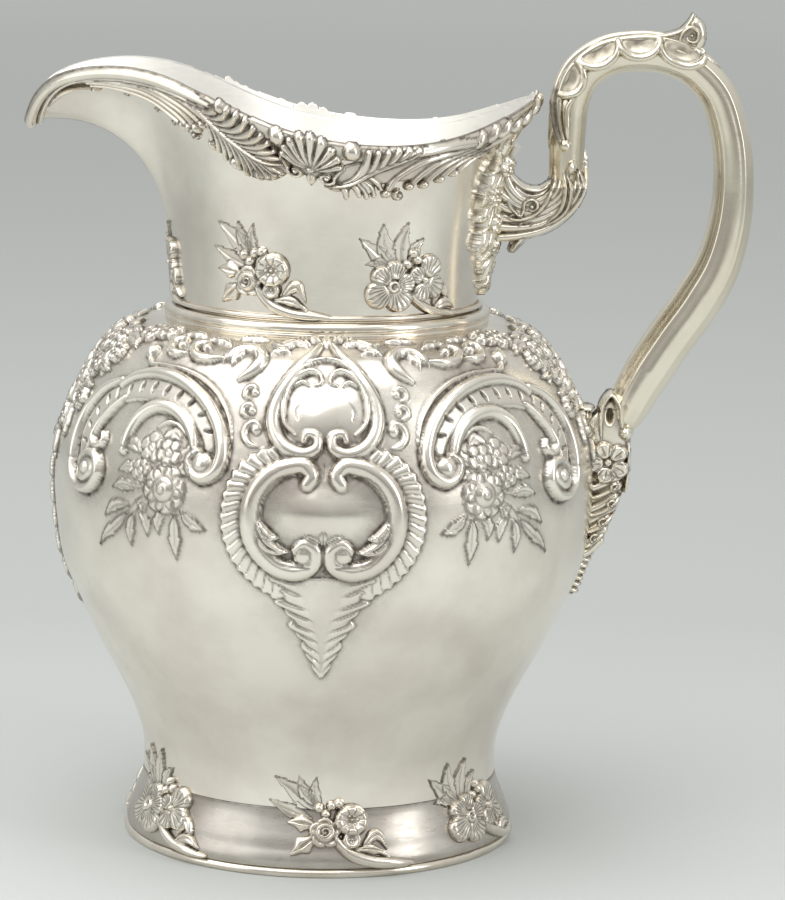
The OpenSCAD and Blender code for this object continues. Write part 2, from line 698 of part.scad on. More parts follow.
// Upper socket: a calyx from the handle's end to the plate on the neck, as x and z shares
// of its reach and drop
calyx_shares = [[1, 1], [0.97, 0.55], [0.83, 0.17], [0.57, 0], [0.28, 0], [0.08, 0.02]];
calyx_tall_shares = [1, 1.15, 1.4, 1.85, 2.3, 2.65];
calyx_wide_shares = [1, 1.15, 1.3, 1.45, 1.55, 1.7];
calyx_steps = 2;
calyx_sides = 16;
seat_fill_shares = [1, 0.66, 0.33, 0.02];
module upper_socket() {
    seat_x = neck_r + 2 * solder_gap + backplate_t;
    low = [seat_x, upper_joint_h - solder_gap - upper_drop];
    high = [upper_joint_x, upper_joint_h - solder_gap];
    p = curve(mixed(low, high, calyx_shares), calyx_steps);
    n = len(p) - 1;
    function share_of(list, t) = lookup(t * (len(list) - 1), [for (i = [0:len(list) - 1]) [i, list[i]]]);
    function calyx_ring(i) = let (
        t = i == 0 ? [0, -1] : i == n ? [-1, 0] : unit(p[i + 1] - p[i - 1]),
        up = [t.y, -t.x],
        tall = handle_d / 2 * share_of(calyx_tall_shares, i / n),
        wide = handle_d / 2 * share_of(calyx_wide_shares, i / n)
    ) [for (k = [0:calyx_sides - 1]) let (psi = 360 * k / calyx_sides, s = section_r(1, psi))
        [p[i].x + s * tall * cos(psi) * up.x, s * wide * sin(psi), p[i].y + s * tall * cos(psi) * up.y]];
    function seat_ring(fill) = let (
        tall = fill * handle_d / 2 * calyx_tall_shares[len(calyx_tall_shares) - 1],
        wide = fill * handle_d / 2 * calyx_wide_shares[len(calyx_wide_shares) - 1]
    ) [for (k = [0:calyx_sides - 1]) let (
        psi = 360 * k / calyx_sides,
        y = section_r(1, psi) * wide * sin(psi),
        z = low.y - section_r(1, psi) * tall * -cos(psi)
    ) [neck_back_x(y, z) + 2 * solder_gap + backplate_t, y, z]];
    color(cast_colour) ring_solid(concat(
        [for (i = [0:n - 1]) calyx_ring(i)],
        [for (f = seat_fill_shares) seat_ring(f)]
    ));
}
// Plate behind it: half widths up its height
backplate_shares = [
    [0, 0.12], [0.1, 0.3], [0.22, 0.42], [0.35, 0.68], [0.5, 0.86], [0.68, 1], [0.86, 0.98], [1, 0.75]
];
backplate_seat_share = 0.62;
plate_steps = 3;
module upper_backplate() {
    foot_z = upper_joint_h - upper_drop - backplate_seat_share * backplate_h;
    function plate_line(s, h) = [for (k = [-plate_steps:plate_steps]) let (
        y = s.y * backplate_w / 2 * k / plate_steps,
        z = foot_z + s.x * backplate_h
    ) [neck_back_x(y, z) + solder_gap + h, y, z]];
    color(cast_colour) ring_solid([
        for (s = reversed(backplate_shares)) concat(plate_line(s, 0), reversed(plate_line(s, backplate_t)))
    ]);
}

// Lower bracket: depth below the handle's end, half width and stand-off from the body
bracket_shares = [
    [1, 0.16, 0.07], [0.955, 0.3, 0.09], [0.858, 0.34, 0.125], [0.76, 0.47, 0.205], [0.643, 0.67, 0.38],
    [0.458, 0.87, 0.557], [0.33, 1, 0.585], [0.166, 1, 0.67], [0.066, 0.97, 0.85], [0, 0.95, 1]
];
curl_shares = [[0, 0.55, 0.24], [0.45, 0.5, 0.24], [0.8, 0.4, 0.2], [1, 0.2, 0.12]];
bracket_front_shares = [[-1, 0.5], [-0.75, 0.9], [0, 1], [0.75, 0.9], [1, 0.5]];
rosette_depth_share = 0.25;
rosette_out_share = 0.3;
relief_clear = solder_gap + relief_h;
function bracket_x(y, z, out) = sqrt(pow(body_r(z), 2) - y * y) + relief_clear + out;
function bracket_ring(z, w, out) = concat(
    [for (s = reversed(bracket_front_shares)) [bracket_x(s.x * w, z, 0), s.x * w, z]],
    [for (s = bracket_front_shares) [bracket_x(0, z, s.y * out), s.x * w, z]]
);
module lower_socket() {
    top = lower_joint_h - solder_gap;
    out = lower_reach + handle_end_d / 2 - relief_clear;
    half = bracket_w / 2;
    color(cast_colour) union() {
        ring_solid(concat(
            [for (s = bracket_shares) bracket_ring(top - s.x * bracket_l, s.y * half, s.z * out)],
            [for (s = curl_shares) bracket_ring(top + s.x * curl_h, s.y * half, s.z * out)]
        ));
        for (side = [-1, 1]) rosette(
            [bracket_x(0, top - rosette_depth_share * bracket_l, rosette_out_share * out),
            side * half, top - rosette_depth_share * bracket_l]);
    }
}
module rosette(p) {
    for (k = [0:petals - 1]) hull() {
        a = 360 * k / petals;
        spoke = rosette_d / 2 * [cos(a), 0, sin(a)];
        bead(p + petal_root_share * spoke, petal_d_share * rosette_d / 2);
        bead(p + petal_mid_share * spoke, petal_d_share * rosette_d / 2);
    }
}

// Flower spray: two blossoms, a bud, leaves and a stem, as shares of its width and height
spray_blooms_shares = [[-0.04, 0.38, 0.38], [0.2, 0.46, 0.34]];
spray_bud_shares = [[-0.16, 0.58], [0.06, 0.68]];
spray_leaf_shares = [[-0.46, 0.42], [-0.44, 0.94], [-0.1, 0.98], [0.46, 0.3]];
leaf_belly_share = 0.7;
petal_turn_angle = 18;
spray_stem_shares = [[0.2, 0.45], [-0.03, 0.37], [0.22, 0.1], [0.5, 0.02]];
module spray_bead(on, p, d) {
    bead(on(p.x, p.y, solder_gap + d / 2), d);
}
module spray(on, w, h) {
    function at(s) = [s.x * w, s.y * h];
    union() {
        for (b = spray_blooms_shares) {
            d = b.z * h;
            for (k = [0:spray_petals - 1]) hull() {
                a = 360 * k / spray_petals + petal_turn_angle;
                spray_bead(on, at(b), heart_d_share * d);
                spray_bead(on, at(b) + petal_mid_share * d / 2 * [cos(a), sin(a)], petal_lift_share * d);
            }
        }
        for (b = spray_bud_shares) hull() {
            spray_bead(on, at(b), spray_t);
            spray_bead(on, at(spray_blooms_shares[0]), spray_t / 2);
        }
        for (tip = spray_leaf_shares) hull() {
            root = at(spray_blooms_shares[tip.x > 0 ? 1 : 0]);
            spray_bead(on, root, spray_t / 2);
            spray_bead(on, root + leaf_belly_share * (at(tip) - root), spray_t);
            spray_bead(on, at(tip), spray_t / 4);
        }
        for (i = [0:len(spray_stem_shares) - 2]) hull() for (e = [0, 1])
            spray_bead(on, at(spray_stem_shares[i + e]), spray_t / 2);
    }
}
// Places round the neck and the foot, in degrees from the front
neck_spray_angles = [-90, -23, 35, 150, -150];
foot_spray_angles = [4, 57, 120, 180, -120, -56];
spray_foot_share = 0.08;
module neck_spray(i) {
    phi = neck_spray_angles[i];
    foot_z = shoulder_h + collar_wire_d + 2 * solder_gap + spray_foot_share * neck_spray_h;
    color(cast_colour)
        spray(function (x, y, h) neck_side_on(phi, x, foot_z + y, h), neck_spray_w, neck_spray_h);
}
module foot_spray(i) {
    phi = foot_spray_angles[i];
    foot_z = foot_wire_h + spray_foot_share * foot_spray_h;
    color(cast_colour)
        spray(function (x, y, h) skirt_on(phi, x, foot_z + y, h), foot_spray_w, foot_spray_h);
}

body_shell();
base_plate();
foot();
foot_rim();
collar_ring();
neck_shell();
spout_lip();
spout_leaf(-1);  // spout_leaf_front
spout_leaf(1);  // spout_leaf_back
rim_shell(-1);  // rim_shell_front
rim_shell(1);  // rim_shell_back
rim_leaf(-1);  // rim_leaf_front
rim_leaf(1);  // rim_leaf_back
rim_crest();
handle_half(-1);  // handle_front_half
handle_half(1);  // handle_back_half
handle_leaf();
thumb_scroll();
upper_socket();
upper_backplate();
lower_socket();
neck_spray(0);  // neck_spray_1
neck_spray(1);  // neck_spray_2
neck_spray(2);  // neck_spray_3
neck_spray(3);  // neck_spray_4
neck_spray(4);  // neck_spray_5
foot_spray(0);  // foot_spray_1
foot_spray(1);  // foot_spray_2
foot_spray(2);  // foot_spray_3
foot_spray(3);  // foot_spray_4
foot_spray(4);  // foot_spray_5
foot_spray(5);  // foot_spray_6
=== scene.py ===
"""Silver ewer: chased body, cast borders and sprays, hollow handle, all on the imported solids.

Lengths are millimetres until a mesh is written. The frame is the solids' own: +Z up, the axis of the
body at the origin on the standing plane, the handle at +X, the spout at -X and the front at -Y.
"""

import copy
import logging
import math
from dataclasses import dataclass
from enum import Enum
from typing import Callable, Optional, Sequence, Union

import bpy
import numpy as np
from mathutils import Matrix
from mathutils.geometry import delaunay_2d_cdt


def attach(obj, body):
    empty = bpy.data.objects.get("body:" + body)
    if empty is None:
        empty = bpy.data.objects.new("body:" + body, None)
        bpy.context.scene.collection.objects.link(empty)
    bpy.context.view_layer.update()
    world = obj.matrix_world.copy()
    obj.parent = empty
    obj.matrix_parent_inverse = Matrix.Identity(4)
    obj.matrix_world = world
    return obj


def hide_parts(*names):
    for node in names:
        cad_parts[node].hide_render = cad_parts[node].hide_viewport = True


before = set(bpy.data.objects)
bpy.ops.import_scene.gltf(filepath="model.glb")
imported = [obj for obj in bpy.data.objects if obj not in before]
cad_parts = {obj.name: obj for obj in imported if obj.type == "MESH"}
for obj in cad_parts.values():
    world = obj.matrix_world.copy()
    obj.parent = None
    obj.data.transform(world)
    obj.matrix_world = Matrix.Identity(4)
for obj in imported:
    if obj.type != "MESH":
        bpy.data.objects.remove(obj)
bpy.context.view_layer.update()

Array = np.ndarray
Point = tuple[float, float]
Path = Sequence[Point]
Half = Callable[[Array], Array]
Shape = Callable[[Array, Array], Array]
Surface = Callable[[Array, Array], Array]
Place = Callable[[Array, Array, Array], Array]
Socket = bpy.types.NodeSocket

LOG = logging.getLogger("ewer")
MM = 0.001
PI = math.pi
BODY = "root"
# Name of the darkness attribute: sulphide in the recesses, and painted shade where marks are drawn for it, in
# the foot's crease, the pleats' valleys and the handle leaf's scoops.
OXIDE_AND_SHADE = "oxide_and_shade"
# Height that counts as much as a full change of darkness, where the faces of a sheet are chosen.
DARK_RISE = 0.09
# Grid points between the kept ones, where detail is slight, where there is none, and on the inner face.
SLIGHT, BARE, INNER = 2, 6, 12


def through(points: Path, step: float = 0.5) -> Array:
    """Draws a smooth line through points.

    Args:
        points: Points of the line, in order, of two or three coordinates.
        step: Length of the pieces that the line is cut into.

    Returns:
        The points of the smooth line.
    """
    p = np.asarray(points, float)
    if len(p) < 3:
        count = max(2, int(np.linalg.norm(p[-1] - p[0]) / step) + 1)
        return p[0] + (p[-1] - p[0]) * np.linspace(0, 1, count)[:, None]
    gap = np.maximum(np.linalg.norm(np.diff(p, axis=0), axis=1), 1e-6)
    slope = np.diff(p, axis=0) / gap[:, None]
    inner = (slope[1:] * gap[:-1, None] + slope[:-1] * gap[1:, None]) / (gap[1:] + gap[:-1])[:, None]
    ends = 1.5 * slope[[0, -1]] - 0.5 * inner[[0, -1]]
    tangent = np.concatenate([ends[:1], inner, ends[1:]])
    pieces = []
    for i, length in enumerate(gap):
        t = np.linspace(0, 1, max(2, int(length / step) + 1), endpoint=False)[:, None]
        pieces.append(
            (1 + 2 * t) * (1 - t) ** 2 * p[i]
            + t * (1 - t) ** 2 * length * tangent[i]
            + t * t * (3 - 2 * t) * p[i + 1]
            + t * t * (t - 1) * length * tangent[i + 1]
        )
    return np.concatenate([*pieces, p[-1:]])


def spiral(at: Point, radius: float, start: float, turns: float, eye: float = 0.22) -> Array:
    """Draws a spiral that winds inwards.

    Args:
        at: Middle of the spiral.
        radius: Radius at its outer end.
        start: Angle of its outer end, in degrees from the first axis.
        turns: Turns that it makes, negative for clockwise.
        eye: Radius at its inner end, as a share of radius.

    Returns:
        The points of the spiral, from the outside in.
    """
    t = np.linspace(0, 1, 30)
    angle = math.radians(start) + 2 * PI * turns * t
    r = radius * (1 - (1 - eye) * t)
    return np.stack([at[0] + r * np.cos(angle), at[1] + r * np.sin(angle)], 1)


def running(points: Array) -> Array:
    """Gives the length along a line, up to each of its points."""
    return np.concatenate([[0], np.cumsum(np.linalg.norm(np.diff(points, axis=0), axis=1))])


def heading(angle: float) -> Array:
    """Gives the direction at an angle, in radians from the first axis, as a step of length one."""
    return np.array([math.cos(angle), math.sin(angle)])


def turned(radius: Array, angle: Array, height: Array) -> Array:
    """Gives the points at a radius and a height, turned by an angle from the front."""
    return np.stack([radius * np.sin(angle), -radius * np.cos(angle), height], -1)


def between(low: Point, high: Point, shares: Path) -> list[Point]:
    """Gives the points at shares of the way from a low corner to a high one."""
    return [(low[0] + a * (high[0] - low[0]), low[1] + b * (high[1] - low[1])) for a, b in shares]


def wire_section(radius: float, height: float, thickness: float) -> list[Point]:
    """Gives the round section of a wire ring, as radius and height."""
    return [(radius + thickness / 2 * math.cos(a), height + thickness / 2 * math.sin(a))
            for a in np.linspace(0, 2 * PI, 24, endpoint=False)]


def taper(share: Array, start: float, end: float, run: float = 0.32) -> Array:
    """Swells a stroke from its start to full size and back to its end, by the share of its length."""
    rise = start + (1 - start) * np.sin(PI / 2 * np.clip(share / run, 0, 1))
    fall = end + (1 - end) * np.sin(PI / 2 * np.clip((1 - share) / run, 0, 1))
    return np.minimum(rise, fall)


def blurred(sheet: Array, cells: int) -> Array:
    """Averages a sheet over squares.

    Args:
        sheet: Values on a grid.
        cells: Reach of the average, in cells.

    Returns:
        The averaged sheet, of the same shape.
    """
    for axis in (0, 1, 0, 1):
        pad = [(0, 0), (0, 0)]
        pad[axis] = (cells + 1, cells)
        total = np.cumsum(np.pad(sheet, pad, mode="edge"), axis=axis)
        size = sheet.shape[axis]
        wide = 2 * cells + 1
        high = np.take(total, np.arange(wide, wide + size), axis=axis)
        low = np.take(total, np.arange(0, size), axis=axis)
        sheet = (high - low) / wide
    return sheet


def grown(mask: Array) -> Array:
    """Widens a mask by one cell on each side."""
    wide = mask.copy()
    wide[1:] |= mask[:-1]
    wide[:-1] |= mask[1:]
    wide[:, 1:] |= mask[:, :-1]
    wide[:, :-1] |= mask[:, 1:]
    return wide


class Mode(Enum):
    """How a stroke joins what is drawn already."""

    OVER = "the higher of the two"
    ADD = "the sum of the two"
    MARK = "darkness only"


class Section(Enum):
    """Shape of a stroke across its width."""

    ROUND = "half round"
    SOFT = "dying into the sheet"
    BLUNT = "flat with round edges"

    def height(self, x: Array) -> Array:
        """Gives the height share at the share x of the half width."""
        x = np.clip(np.abs(x), 0, 1)
        if self is Section.ROUND:
            return np.sqrt(1 - x * x)
        if self is Section.SOFT:
            return (1 - x * x) ** 2
        return np.sqrt(1 - x**6)


@dataclass
class Relief:
    """Sheet of relief, drawn in strokes on a grid.

    Attributes:
        low: Lowest u and v.
        high: Highest u and v.
        step: Spacing of the grid.
        ground: Height where nothing is drawn.
        axes: Values of u about which each stroke is repeated in mirror image.
        narrowing: True width of one millimetre of u, at a height v.
        ink: Darkness of the outline that each stroke leaves round it.
        flat: Height up to which a blossom's petals are flat.
        margin: Reach of a stroke's slope beyond its edge.
        finest: Shortest piece that a line is cut into.
    """

    low: Point
    high: Point
    step: float
    ground: float = 0.0
    axes: tuple[float, ...] = ()
    narrowing: Callable[[float], float] = lambda v: 1.0
    ink: float = 0.0
    flat: float = 1.3
    margin: float = 0.8
    finest: float = 0.4

    def __post_init__(self) -> None:
        """Lays out the grid."""
        counts = [int(round((h - l) / self.step)) + 1 for l, h in zip(self.low, self.high)]
        self.u = np.linspace(self.low[0], self.high[0], counts[0])
        self.v = np.linspace(self.low[1], self.high[1], counts[1])
        self.height = np.full((counts[1], counts[0]), self.ground)
        self.stain_and_shade = np.zeros_like(self.height)
        self.least = min(self.narrowing(v) for v in self.v[:: max(1, len(self.v) // 40)])

    @property
    def lone(self) -> "Relief":
        """Gives the same sheet, to draw on without mirror images."""
        single = copy.copy(self)
        single.axes = ()
        return single

    def smooth(self, path: Path) -> Array:
        """Draws a smooth line through points, as fine as the grid needs."""
        return through(path, max(self.step, self.finest))

    def spokes(self, at: Point, reach: float, count: int, turn: float = 0.0) -> list[tuple[float, Point]]:
        """Gives the angle, in degrees, and the end of each spoke of a wheel."""
        spokes = []
        for angle in (turn + 360 * i / count for i in range(count)):
            across, up = reach * heading(math.radians(angle))
            spokes.append((angle, (at[0] + across / self.narrowing(at[1]), at[1] + up)))
        return spokes

    def window(self, points: Array, reach: float) -> tuple[slice, slice]:
        """Gives the rows and columns within reach of points."""
        wide = reach / self.least
        c0, c1 = np.searchsorted(self.u, [points[:, 0].min() - wide, points[:, 0].max() + wide])
        r0, r1 = np.searchsorted(self.v, [points[:, 1].min() - reach, points[:, 1].max() + reach])
        return slice(int(r0), int(r1)), slice(int(c0), int(c1))

    def stroke(self, path: Path, half: Half, shape: Shape, mode: Mode = Mode.OVER) -> None:
        """Draws one stroke and its mirror images.

        Args:
            path: Middle line of the stroke.
            half: Half width at each share of its length.
            shape: Height from the share across and the share along.
            mode: How it joins what is there.
        """
        line = np.asarray(path, float)
        self.lay(line, 1.0, half, shape, mode)
        for axis in self.axes:
            self.lay(np.stack([2 * axis - line[:, 0], line[:, 1]], 1), -1.0, half, shape, mode)

    def lay(self, line: Array, hand: float, half: Half, shape: Shape, mode: Mode) -> None:
        """Draws one stroke; hand is -1 on a mirror image, and the rest is as for stroke."""
        reach = float(np.max(half(np.linspace(0, 1, 41)))) + self.margin
        rows, cols = self.window(line, reach)
        if rows.start >= rows.stop or cols.start >= cols.stop:
            return
        far = np.full((rows.stop - rows.start, cols.stop - cols.start), 1e6)
        run = np.zeros_like(far)
        gone = 0.0
        for a, b in zip(line[:-1], line[1:]):
            k = self.narrowing((a[1] + b[1]) / 2)
            du, dv = (b[0] - a[0]) * k, b[1] - a[1]
            length = math.hypot(du, dv)
            if length < 1e-9:
                continue
            r, c = self.window(np.stack([a, b]), reach)
            part = (slice(r.start - rows.start, r.stop - rows.start),
                    slice(c.start - cols.start, c.stop - cols.start))
            x = (self.u[c] - a[0])[None, :] * k
            y = (self.v[r] - a[1])[:, None]
            t = np.clip((x * du + y * dv) / length**2, 0, 1)
            off = np.hypot(x - t * du, y - t * dv)
            nearer = off < np.abs(far[part])
            far[part] = np.where(nearer, np.where(y * du < x * dv, -off, off), far[part])
            run[part] = np.where(nearer, gone + t * length, run[part])
            gone += length
        share = run / max(gone, 1e-6)
        width = np.maximum(half(share), 1e-3)
        x = hand * far / width
        inside = np.abs(x) < 1
        rise = np.where(inside, shape(np.clip(x, -1, 1), share), width - np.abs(far))
        self.blend(rows, cols, rise, inside, mode)

    def blend(self, rows: slice, cols: slice, rise: Array, inside: Array, mode: Mode) -> None:
        """Joins a stroke's heights to the sheet.

        Args:
            rows: Rows that it touches.
            cols: Columns that it touches.
            rise: Its heights.
            inside: Where it is drawn.
            mode: How it joins what is there.
        """
        sheet, dark = self.height[rows, cols], self.stain_and_shade[rows, cols]
        if mode is Mode.ADD:
            sheet += np.where(inside, rise, 0)
        elif mode is Mode.MARK:
            np.maximum(dark, np.where(inside, rise, 0), out=dark)
        else:
            over = inside & (rise > sheet)
            np.maximum(sheet, rise, out=sheet)
            dark[over] = 0
            ring = grown(over)
            np.maximum(dark, 0.5 * self.ink * (grown(ring) & ~ring), out=dark)
            np.maximum(dark, self.ink * (ring & ~over), out=dark)

    def ridge(self, path: Path, width: float, height: float, ends: Point = (0.35, 0.35),
              section: Section = Section.ROUND, mode: Mode = Mode.OVER) -> None:
        """Draws a raised line, or a chased one where height is negative.

        Args:
            path: Points that the line passes through.
            width: Full width of the line.
            height: Height of its crown.
            ends: Shares of the width that are left at its two ends.
            section: Shape across it.
            mode: How it joins what is there.
        """
        self.stroke(self.smooth(path), lambda t: width / 2 * taper(t, *ends),
                    lambda x, t: height * np.sqrt(taper(t, *ends)) * section.height(x), mode)

    def bed(self, path: Path, width: float, ends: Point) -> None:
        """Lays a flat strip, a millimetre high, for finer strokes to stand on."""
        self.ridge(path, width, 1.0, ends, Section.BLUNT)

    def line(self, path: Path, width: float = 0.8, depth: float = 0.35) -> None:
        """Cuts a chased line along a path, and darkens its bed."""
        self.ridge(path, width, -depth, (0.5, 0.5), Section.SOFT, Mode.ADD)
        dirt = max(width / 2, 0.85 * self.step)
        self.stroke(self.smooth(path), lambda t: dirt * taper(t, 0.6, 0.6),
                    lambda x, t: self.ink * np.sqrt(1 - x * x), Mode.MARK)

    def boss(self, at: Point, radius: float, height: float, other: Optional[float] = None, turn: float = 0.0,
             section: Section = Section.ROUND, mode: Mode = Mode.OVER) -> None:
        """Raises a round or oval boss.

        Args:
            at: Middle of the boss.
            radius: Radius along its own axis.
            height: Height of its crown.
            other: Radius across that axis, where it is oval.
            turn: Angle of the axis, in degrees.
            section: Shape from the middle to the edge.
            mode: How it joins what is there.
        """
        across = radius if other is None else other
        for axis in (None, *self.axes):
            u = at[0] if axis is None else 2 * axis - at[0]
            angle = math.radians(turn if axis is None else 180 - turn)
            rows, cols = self.window(np.array([[u, at[1]]]), max(radius, across) + self.margin)
            x = (self.u[cols] - u)[None, :] * self.narrowing(at[1])
            y = (self.v[rows] - at[1])[:, None]
            along = (x * math.cos(angle) + y * math.sin(angle)) / radius
            off = np.hypot(along, (y * math.cos(angle) - x * math.sin(angle)) / across)
            rise = np.where(off < 1, height * section.height(off), (1 - off) * min(radius, across))
            self.blend(rows, cols, rise, off < 1, mode)

    def swell(self, at: Point, radius: float, height: float, other: Optional[float] = None,
              turn: float = 0.0) -> None:
        """Swells the sheet softly by a height, or dents it by a negative one; the rest is as for boss."""
        self.boss(at, radius, height, other, turn, Section.SOFT, Mode.ADD)

    def leaf(self, path: Path, width: float, height: float, teeth: int = 0) -> None:
        """Draws a pointed leaf with a vein.

        Args:
            path: Middle line of the leaf, from its stalk to its tip.
            width: Greatest width.
            height: Height of its two cheeks.
            teeth: Notches along each side.
        """
        def half(t: Array) -> Array:
            """Gives the notched outline."""
            notch = 1 + (0.16 * np.cos(2 * PI * teeth * t) if teeth else 0)
            return np.maximum(width / 2 * np.sin(PI * np.clip(t, 0.04, 0.985) ** 0.8) * notch, 0.12)

        def shape(x: Array, t: Array) -> Array:
            """Gives the two cheeks and the vein between."""
            cheek = 1 - 0.5 * np.abs(x) ** 2.2 - 0.42 * np.exp(-((x / 0.17) ** 2))
            return height * cheek * taper(t, 0.5, 0.6)

        self.stroke(self.smooth(path), half, shape)

    def etch(self, path: Path, width: float, height: float = 0.35, teeth: float = 2.5) -> None:
        """Chases a flat leaf: a low swell with a dark outline and a dark vein.

        Args:
            path: Middle line of the leaf, from its stalk to its tip.
            width: Greatest width.
            height: Height of the swell.
            teeth: Lobes along each side.
        """
        line = self.smooth(path)

        def half(t: Array) -> Array:
            """Gives the lobed outline."""
            lobe = 1 - 0.3 * np.mod(teeth * t, 1.0) * (t < 0.8)
            return np.maximum(width / 2 * np.sin(PI * np.clip(t, 0.05, 0.97) ** 0.85) * lobe, 0.28)

        edge = min(0.55, max(0.32, 1.5 * self.step))
        vein = line[: int(0.8 * len(line))]
        self.stroke(line, half, lambda x, t: height * (1 - 0.45 * np.exp(-((x / 0.2) ** 2))))
        self.stroke(line, half, lambda x, t: np.clip(1.15 - (1 - np.abs(x)) * half(t) / edge, 0, 0.9),
                    Mode.MARK)
        self.stroke(vein, lambda t: 0.3 * (1 - 0.5 * t), lambda x, t: 0.4 + 0 * x, Mode.MARK)

    def blossom(self, at: Point, radius: float, height: float, petals: int = 5, turn: float = 0.0,
                heart: float = 0.3) -> None:
        """Draws an open flower: petals round a domed heart, outlined where they are flat and else dished.

        Args:
            at: Middle of the flower.
            radius: Radius over the petals.
            height: Height of the petals' outer edges.
            petals: Number of petals.
            turn: Angle of the first petal, in degrees.
            heart: Radius of the heart, as a share of radius.
        """
        low = height <= self.flat
        cheek = radius * min(0.46, (1.25 if low else 1.05) * math.sin(PI / petals))
        for i, (angle, middle) in enumerate(self.spokes(at, 0.6 * radius, petals, turn)):
            self.boss(middle, 0.4 * radius, height - 0.12 * (i % 3), cheek, angle, Section.BLUNT)
        bend = np.linspace(-2.0, 2.0, 12)
        x, y = 0.6 * radius + 0.36 * radius * np.cos(bend), 0.92 * cheek * np.sin(bend)
        for angle, dish in self.spokes(at, 0.62 * radius, petals, turn):
            c, s = math.cos(math.radians(angle)), math.sin(math.radians(angle))
            if low:
                edge = [at[0] + (x * c - y * s) / self.narrowing(at[1]), at[1] + x * s + y * c]
                self.line(np.stack(edge, 1), 1.0, 0.4)
            else:
                self.swell(dish, 0.26 * radius, -0.34 * height, 0.62 * cheek, angle)
        self.swell(at, 1.35 * heart * radius, -0.45 * height)
        self.boss(at, heart * radius, 1.12 * height)
        self.swell(at, 0.4 * heart * radius, -0.4 * height)

    def rose(self, at: Point, radius: float, height: float) -> None:
        """Draws a full flower: broad outer petals, a cup and a rolled heart.

        Args:
            at: Middle of the flower.
            radius: Radius over the petals.
            height: Height of the cup's lip.
        """
        for angle, middle in self.spokes(at, 0.52 * radius, 5, 20):
            self.boss(middle, 0.48 * radius, 0.62 * height, 0.54 * radius, angle, Section.BLUNT)
            self.swell(middle, 0.36 * radius, -0.2 * height, 0.4 * radius, angle)
        self.cup(at, 0.64 * radius, height)
        self.ridge(spiral(at, 0.34 * radius, 200, 1.3, 0.2), 0.15 * radius, 0.95 * height, (0.8, 0.8))

    def cup(self, at: Point, radius: float, height: float) -> None:
        """Draws a round cup flower: a thick lip, a hollow and a small rosette in it.

        Args:
            at: Middle of the flower.
            radius: Radius over the lip.
            height: Height of the lip.
        """
        self.boss(at, radius, height, section=Section.BLUNT)
        self.swell(at, 0.8 * radius, -0.5 * height)
        for _, seed in self.spokes(at, 0.3 * radius, 6):
            self.boss(seed, 0.15 * radius, 0.78 * height)
        self.boss(at, 0.15 * radius, 0.86 * height)

    def petal(self, heart: Point, tip: Point, cheek: float, height: float, flutes: int) -> None:
        """Draws one petal of a pansy: a round blade, hollowed, with flutes at its edge.

        Args:
            heart: Middle of the flower.
            tip: Middle of the blade.
            cheek: Half width of the blade.
            height: Height of its edge.
            flutes: Number of flutes.
        """
        way = np.array(tip) - np.array(heart)
        long = float(np.linalg.norm(way))
        angle = math.degrees(math.atan2(way[1], way[0]))
        self.boss(tip, 0.92 * cheek, height, cheek, angle, Section.BLUNT)
        self.swell(tip, 0.8 * cheek, -0.18 * height, 0.85 * cheek, angle)
        for share in np.linspace(-0.6, 0.6, flutes):
            turn = math.radians(angle) + share * cheek / long
            self.line([(heart[0] + r * math.cos(turn), heart[1] + r * math.sin(turn))
                       for r in (0.6 * long, long + 0.75 * cheek * math.cos(share))], 0.5, 0.22)

    def curl(self, at: Point, radius: float, start: float, turns: float, width: float, height: float,
             lead: Path = ()) -> None:
        """Draws a scroll that winds into a volute with a ball in its eye.

        Args:
            at: Middle of the volute.
            radius: Radius of its outer turn.
            start: Angle where the scroll meets the volute, in degrees.
            turns: Turns of the volute, negative for clockwise.
            width: Width of the scroll.
            height: Height of the scroll.
            lead: Points of the scroll before the volute.
        """
        wound = spiral(at, radius, start, turns)
        path = np.concatenate([np.asarray(lead, float).reshape(-1, 2), wound[::3]])
        self.ridge(path, width, height, (0.3, 0.6))
        self.boss(at, 0.42 * radius, 1.1 * height)

    def thicken(self, thickness: float, reach: float) -> None:
        """Thickens what is drawn, with edges rounded over the reach."""
        inside = (self.height > 0).astype(float)
        dome = np.clip(2 * blurred(inside, max(1, int(reach / self.step))) - 1, 0, 1)
        self.height = np.where(inside > 0, self.height + thickness * np.sqrt(dome), self.height)

    def hollows(self, reach: float, depth: float) -> Array:
        """Finds where sulphide gathers in hollows, and adds the darkness of the marks drawn on the sheet,
        some of which is painted shade.

        Args:
            reach: Distance over which a hollow is judged.
            depth: Depth at which a hollow is wholly dark.

        Returns:
            The darkness of each grid point, from 0 to 1.
        """
        level = np.maximum(self.height, min(self.ground, 0))
        lack = blurred(level, max(1, int(reach / self.step))) - level
        return np.clip(np.maximum(lack / depth, self.stain_and_shade), 0, 1)


def lifted(surface: Surface, u: Array, v: Array, h: Array, reach: float = 0.3) -> Array:
    """Places points above a surface.

    Args:
        surface: Gives the point at u and v.
        u: First coordinates.
        v: Second coordinates.
        h: Heights above the surface.
        reach: Distance over which its slope is measured.

    Returns:
        The points, one a row.
    """
    along = surface(u + reach, v) - surface(u - reach, v)
    up = surface(u, v + reach) - surface(u, v - reach)
    out = np.cross(along, up)
    out /= np.maximum(np.linalg.norm(out, axis=1), 1e-9)[:, None]
    return surface(u, v) + np.asarray(h)[:, None] * out


def deselect() -> None:
    """Deselects every object."""
    bpy.ops.object.select_all(action="DESELECT")


